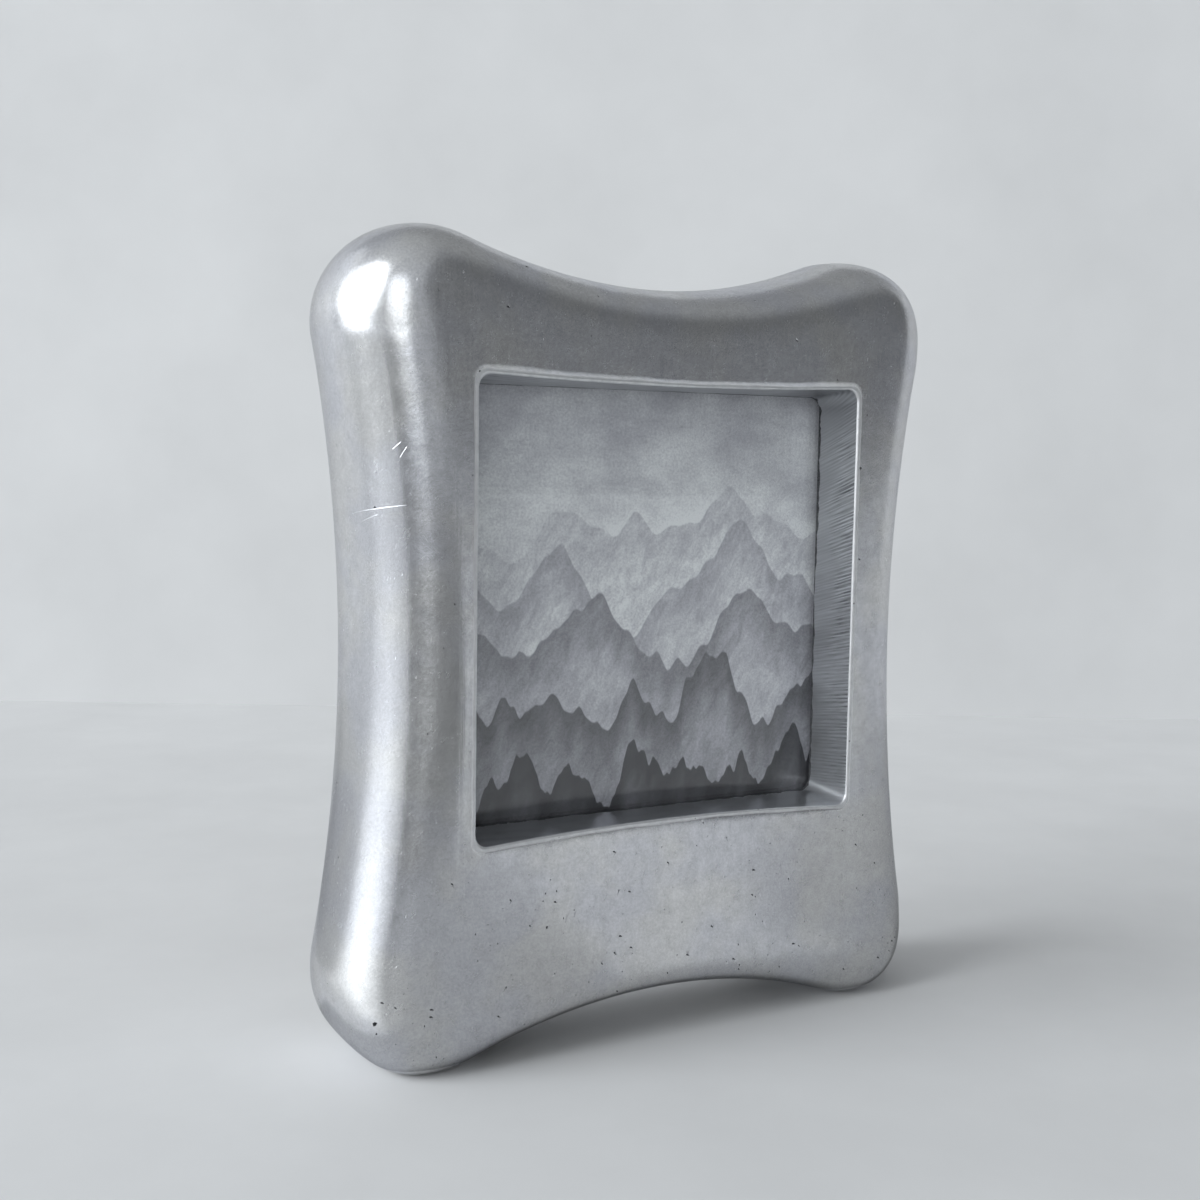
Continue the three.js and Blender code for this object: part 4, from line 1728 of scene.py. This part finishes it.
@dataclass
class ButtonFixings:
    """The washers and pan-head screws that hold the four buttons."""

    shank_radius: float = 1.45 * MM
    tip_share: float = 0.3
    head_radius: float = 2.75 * MM
    head_height: float = 1.9 * MM
    head_rim: float = 0.6 * MM
    head_ease: Pair = (0.96, 0.04)
    head_middle: float = 0.02
    head_steps: int = 46
    cross_width: float = 0.8 * MM
    cross_length: float = 3.0 * MM
    cross_depth: float = 1.0 * MM
    cross_slope: float = 0.16 * MM
    washer_bore: float = 1.75 * MM
    washer_edge: float = 0.1 * MM
    washer_seed: int = 3
    screw_seed: int = 5
    steps: int = 96

    def circle(self, radius: float, y: Depth) -> Ring:
        """A ring round the Y axis, running the way that keeps faces outwards."""
        return upright(radius * compass(np.linspace(0, math.tau, self.steps, endpoint=False)), y)

    def head_ring(self, share: float) -> Ring:
        """One ring of the domed head, sunk where the cross recess is.

        Args:
            share: Its radius as a share of the head's.

        Returns:
            The ring.
        """
        dome = self.head_rim + (self.head_height - self.head_rim) * math.sqrt(max(0.0, 1 - share * share))
        ring = self.circle(self.head_radius * share, dome)
        across = np.sort(np.abs(ring[:, [0, 2]]), axis=1)
        room = np.minimum(self.cross_width / 2 - across[:, 0], self.cross_length / 2 - across[:, 1])
        ring[:, 1] -= self.cross_depth * smoothstep(room / self.cross_slope + 0.5)
        return ring

    def screw_blank(self, length: float) -> Mesh:
        """One screw with its head seated on y = 0.

        Args:
            length: Length of its shank.

        Returns:
            The mesh.
        """
        tip = self.shank_radius * self.tip_share
        rings = [
            self.circle(tip, -length + tip),
            self.circle(self.shank_radius, -length + self.shank_radius),
            self.circle(self.shank_radius, 0.0),
            self.circle(self.head_radius * self.head_ease[0], 0.0),
            self.circle(self.head_radius, self.head_radius * self.head_ease[1]),
            *[self.head_ring(share) for share in np.linspace(1, self.head_middle, self.head_steps)],
        ]
        top = self.head_height - self.cross_depth
        return turned_mesh("screw_blank", rings, (0, -length, 0), (0, top, 0))

    def washer_blank(self, radius: float, thickness: float) -> Mesh:
        """One washer lying on y = 0.

        Args:
            radius: Its outer radius.
            thickness: Its thickness.

        Returns:
            The mesh.
        """
        edge = self.washer_edge
        profile = (
            (self.washer_bore, thickness),
            (self.washer_bore, 0.0),
            (radius - edge, 0.0),
            (radius, edge),
            (radius, thickness - edge),
            (radius - edge, thickness),
        )
        return wall_mesh("washer_blank", [self.circle(*place) for place in profile])

    def four(self, name: str, blank: Mesh, seat: float, seed: int) -> Piece:
        """Repeat a blank at the four pivots, each with a turn of its own.

        Args:
            name: Name of the new piece.
            blank: The mesh to repeat.
            seat: Depth at which it sits.
            seed: Picks the turns.

        Returns:
            The piece with all four.
        """
        left, bottom = Corner.BOTTOM_LEFT.pivot()
        right, top = Corner.TOP_RIGHT.pivot()
        pattern = new_piece(f"{name}_pattern", blank)
        tree = PartTree(f"four_{name}")
        part = tree.input("Part", "Object", pattern)
        spacing = tree.input("Column spacing", "Float", right - left)
        rise = tree.input("Row spacing", "Float", top - bottom)
        place = tree.input("Middle", "Vector", ((left + right) / 2, seat, (top + bottom) / 2))
        pick = tree.input("Seed", "Int", seed)
        metal = tree.input("Metal", "Material", ZINC.material())
        grid = tree.out("GeometryNodeMeshGrid", {0: spacing, 1: rise, 2: 2, 3: 2})
        stand = {"Geometry": grid, "Translation": place, "Rotation": (QUARTER, 0, 0)}
        points = tree.out("GeometryNodeTransform", stand)
        laid = tree.repeat(points, tree.contents(part), Rotation=tree.twist(1, pick))
        piece = new_piece(name, bpy.data.meshes.new(name))
        tree.apply(piece, tree.paint(tree.real(laid), metal))
        bpy.data.objects.remove(pattern)
        round_off(piece.data)
        return piece

    def build(self) -> list[Piece]:
        """Make all washers and all screws and hand them to the frame.

        Returns:
            The finished pieces.
        """
        label = Corner.TOP_LEFT.label
        washer_low, washer_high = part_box(f"button_washer_{label}")
        screw_low, screw_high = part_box(f"button_screw_{label}")
        radius, thickness = (washer_high.x - washer_low.x) / 2, washer_high.y - washer_low.y
        seat = screw_high.y - self.head_height
        washer, screw = self.washer_blank(radius, thickness), self.screw_blank(seat - screw_low.y)
        washers = self.four("zinc_washers", washer, washer_low.y, self.washer_seed)
        screws = self.four("zinc_screws", screw, seat, self.screw_seed)
        settle(washers, "frame", "zinc_steel", *[f"button_washer_{corner.label}" for corner in Corner])
        settle(screws, "frame", "zinc_steel", *[f"button_screw_{corner.label}" for corner in Corner])
        return [washers, screws]


# Studio
def around(azimuth: float, distance: float, height: float) -> Vector:
    """A place round the frame, by degrees from the front to the right, distance and height."""
    turn = math.radians(azimuth)
    return Vector((math.sin(turn) * distance, -math.cos(turn) * distance, height))


@dataclass(frozen=True)
class Lamp:
    """A soft oval lamp: its azimuth and elevation, distance, width and height, brightness and roll."""

    name: str
    way: Pair
    distance: float
    size: Pair
    glow: float
    roll: float = 0.0

    def hang(self, tint: Colour) -> None:
        """Hang the lamp in its place, facing the frame, with light of this tint.

        Args:
            tint: Colour of its light.
        """
        data = bpy.data.lights.new(self.name, "AREA")
        data.shape, data.size, data.size_y = "ELLIPSE", *self.size
        data.energy = self.glow * math.pi * (math.pi / 4) * self.size[0] * self.size[1]
        data.color = tint
        lift = math.radians(self.way[1])
        out = around(self.way[0], math.cos(lift), math.sin(lift))
        lamp = bpy.data.objects.new(self.name, data)
        lamp.location = (cad_box[0] + cad_box[1]) / 2 + out * self.distance
        turn = out.to_track_quat("Z", "Y").to_matrix() @ Matrix.Rotation(math.radians(self.roll), 3, "Z")
        lamp.rotation_euler = turn.to_euler()
        lamp.visible_camera = False
        bpy.context.scene.collection.objects.link(lamp)


@dataclass(frozen=True)
class Card:
    """A bent card: for its lower and upper edge the azimuths of both ends, the distance and the height."""

    name: str
    paint: StudioPaint
    lower: Four
    upper: Four
    steps: int = 12

    @classmethod
    def flat(cls, name: str, paint: StudioPaint, ends: Pair, reach: Pair) -> "Card":
        """A card on the table, by the azimuths of its ends and how near and how far it reaches."""
        near, far = reach
        return cls(name, paint, (*ends, near, CARD_LIFT), (*ends, far, CARD_LIFT))

    def corners(self) -> list[Vector]:
        """Its corners, along the lower edge and back along the upper one.

        Returns:
            The corners.
        """
        shares = [step / self.steps for step in range(self.steps + 1)]
        (start, end, *low), (first, last, *high) = self.lower, self.upper
        foot = [around(start + (end - start) * share, *low) for share in shares]
        return foot + [around(last + (first - last) * share, *high) for share in shares]


@dataclass
class Studio:
    """A pale floor and wall, soft light from the left and the camera of the photograph."""

    camera_place: Triple = (-148.81 * MM, -252.31 * MM, 108.65 * MM)
    heading: float = math.radians(29.127)
    pitch: float = math.radians(5.255)
    roll: float = math.radians(0.914)
    lens: float = 45.62
    sensor: float = 36.0
    clip: Pair = (0.01, 50.0)
    floor_size: float = 8.0
    wall_distance: float = 0.656
    wall_size: Pair = (3.2, 0.45)
    # Size of the strip of painted shade under and before the feet
    shade_strip_half: float = 0.075
    shade_strip_reach: Pair = (-0.02, 0.038)
    light_tint: Colour = (0.958, 1.0, 1.034)
    room_side: float = 0.44
    dark_way: float = math.radians(43.0)
    dark_reach: Pair = (math.radians(22.0), math.radians(40.0))
    dark_share: float = 0.32
    room_top: Pair = (0.48, 0.27)
    top_span: Pair = (-0.5, 0.5)
    upward_span: Pair = (0.35, 0.9)
    lamps: tuple[Lamp, ...] = (
        Lamp("window_light", (-95.0, 22.0), 9.0, (12.6, 8.0), 1.4),
        Lamp("window_middle", (-93.0, 26.0), 8.8, (6.6, 5.2), 7.2),
        Lamp("window_side", (-150.0, 32.0), 9.0, (5.2, 4.0), 0.4),
        Lamp("side_fill", (-34.5, 12.0), 2.4, (2.2, 0.95), 1.2, -36.0),
    )
    cards: tuple[Card, ...] = (
        Card("window_post", DARK_PAINT, (-54.0, -51.5, 0.50, 0.17), (-70.0, -60.0, 0.50, 0.48), 2),
        Card.flat("table_end", DARK_PAINT, (-58.0, 14.0), (0.22, 1.6)),
        # Painted shade: the floor just before the frame, darker in the metal's reflection
        Card.flat("table_front", MID_PAINT, (-62.0, 8.0), (0.035, 0.22)),
        Card.flat("table_side", MID_PAINT, (-165.0, -116.0), (0.12, 0.45)),
        Card.flat("table_left", MID_PAINT, (-116.0, -62.0), (0.52, 1.6)),
        Card.flat("table_sheen", PALE_PAINT, (-112.0, -66.0), (0.1, 0.52)),
        # Painted shadow: the floor right of the frame, in its shadow, as the metal reflects it
        Card.flat("table_right", MID_PAINT, (40.0, 150.0), (0.075, 0.4)),
    )

    def ahead(self) -> Vector:
        """The level direction that the camera faces."""
        return Vector((math.sin(self.heading), math.cos(self.heading), 0))

    def sideways(self) -> Vector:
        """The level direction to the camera's right."""
        return Vector((math.cos(self.heading), -math.sin(self.heading), 0))

    def camera(self) -> None:
        """Stand the camera where the photograph was taken."""
        data = bpy.data.cameras.new("portrait_camera")
        data.lens, data.sensor_width = self.lens, self.sensor
        data.clip_start, data.clip_end = self.clip
        forward = self.ahead() * math.cos(self.pitch) + Vector((0, 0, -math.sin(self.pitch)))
        level = self.sideways()
        upward = level.cross(forward)
        right = level * math.cos(self.roll) + upward * math.sin(self.roll)
        upward = upward * math.cos(self.roll) - level * math.sin(self.roll)
        turn = Matrix((right, upward, -forward)).transposed().to_4x4()
        camera = bpy.data.objects.new("portrait_camera", data)
        camera.matrix_world = Matrix.Translation(self.camera_place) @ turn
        bpy.context.scene.collection.objects.link(camera)
        bpy.context.scene.camera = camera

    def sheet(self, name: str, paint: StudioPaint, corners: Sequence[Vector], mirrored: bool = False) -> None:
        """Lay one sheet of the surroundings.

        Args:
            name: Its name.
            paint: Its finish.
            corners: Its corners in order.
            mirrored: True for a sheet that shows only in reflections.
        """
        mesh = bpy.data.meshes.new(name)
        mesh.from_pydata([tuple(corner) for corner in corners], [], [range(len(corners))])
        mesh.materials.append(paint.material())
        piece = new_piece(name, mesh)
        if mirrored:
            piece.visible_camera = piece.visible_shadow = piece.visible_diffuse = False

    def surroundings(self) -> None:
        """Lay the floor and stand the wall behind the frame."""
        reach = self.floor_size / 2
        corners = [Vector((x * reach, y * reach, 0)) for x, y in ((-1, -1), (1, -1), (1, 1), (-1, 1))]
        self.sheet("pale_floor", FLOOR_PAINT, corners)
        foot = Vector(self.camera_place) + self.ahead() * self.wall_distance
        foot.z = 0
        side = self.sideways() * (self.wall_size[0] / 2)
        top = Vector((0, 0, self.wall_size[1]))
        self.sheet("pale_wall", WALL_PAINT, [foot - side, foot + side, foot + side + top, foot - side + top])

    def table(self) -> None:
        """Lay out what the metal reflects: cards round the frame, and a strip of painted shade under and
        before its feet.
        """
        for card in self.cards:
            self.sheet(card.name, card.paint, card.corners(), mirrored=True)
        # Painted shade: a grey strip on the floor at the feet, seen only in the metal
        half, (near, far) = self.shade_strip_half, self.shade_strip_reach
        places = ((-half, -far), (half, -far), (half, -near), (-half, -near))
        self.sheet("table_strip", MID_PAINT, [Vector((x, y, CARD_LIFT)) for x, y in places], mirrored=True)

    def sky(self) -> None:
        """Light the room softly, less from above than from the sides, and least from the front right."""
        world = bpy.data.worlds.new("soft_room")
        bpy.context.scene.world = world
        world.use_nodes = True
        world.node_tree.nodes.clear()
        board = NodeBoard(world.node_tree)
        x, y, z = board.axes(board.add("ShaderNodeTexCoord").outputs["Generated"])
        top = board.spread(x, self.top_span, self.room_top)
        upward = board.spread(z, self.upward_span, (0, 1))
        azimuth = board.math("ARCTAN2", x, board.times(y, -1.0))
        beside = board.math("ABSOLUTE", board.minus(azimuth, self.dark_way))
        side = board.spread(beside, self.dark_reach, (self.room_side * self.dark_share, self.room_side))
        level = board.fade(upward, side, top)
        tint = {place: board.times(level, share) for place, share in enumerate(self.light_tint)}
        colour = board.out("ShaderNodeCombineColor", tint)
        glow = board.out("ShaderNodeBackground", {"Color": colour, "Strength": 1.0})
        board.add("ShaderNodeOutputWorld", {"Surface": glow})

    def build(self) -> None:
        """Set up the camera, the surroundings and the light."""
        self.camera()
        self.surroundings()
        self.sky()
        for lamp in self.lamps:
            lamp.hang(self.light_tint)
        self.table()
        bpy.context.scene.view_settings.view_transform = "Standard"


def main() -> None:
    """Build the frame's sub-assemblies in order, then the studio round them."""
    logging.basicConfig(level=logging.INFO, format="%(name)s: %(message)s")
    for assembly in (Casting(), PictureStack(), TurnButtons(), ButtonFixings()):
        for piece in assembly.build():
            LOG.info("%s has %d faces", piece.name, len(piece.data.polygons))
    Studio().build()


if __name__ == "__main__":
    main()
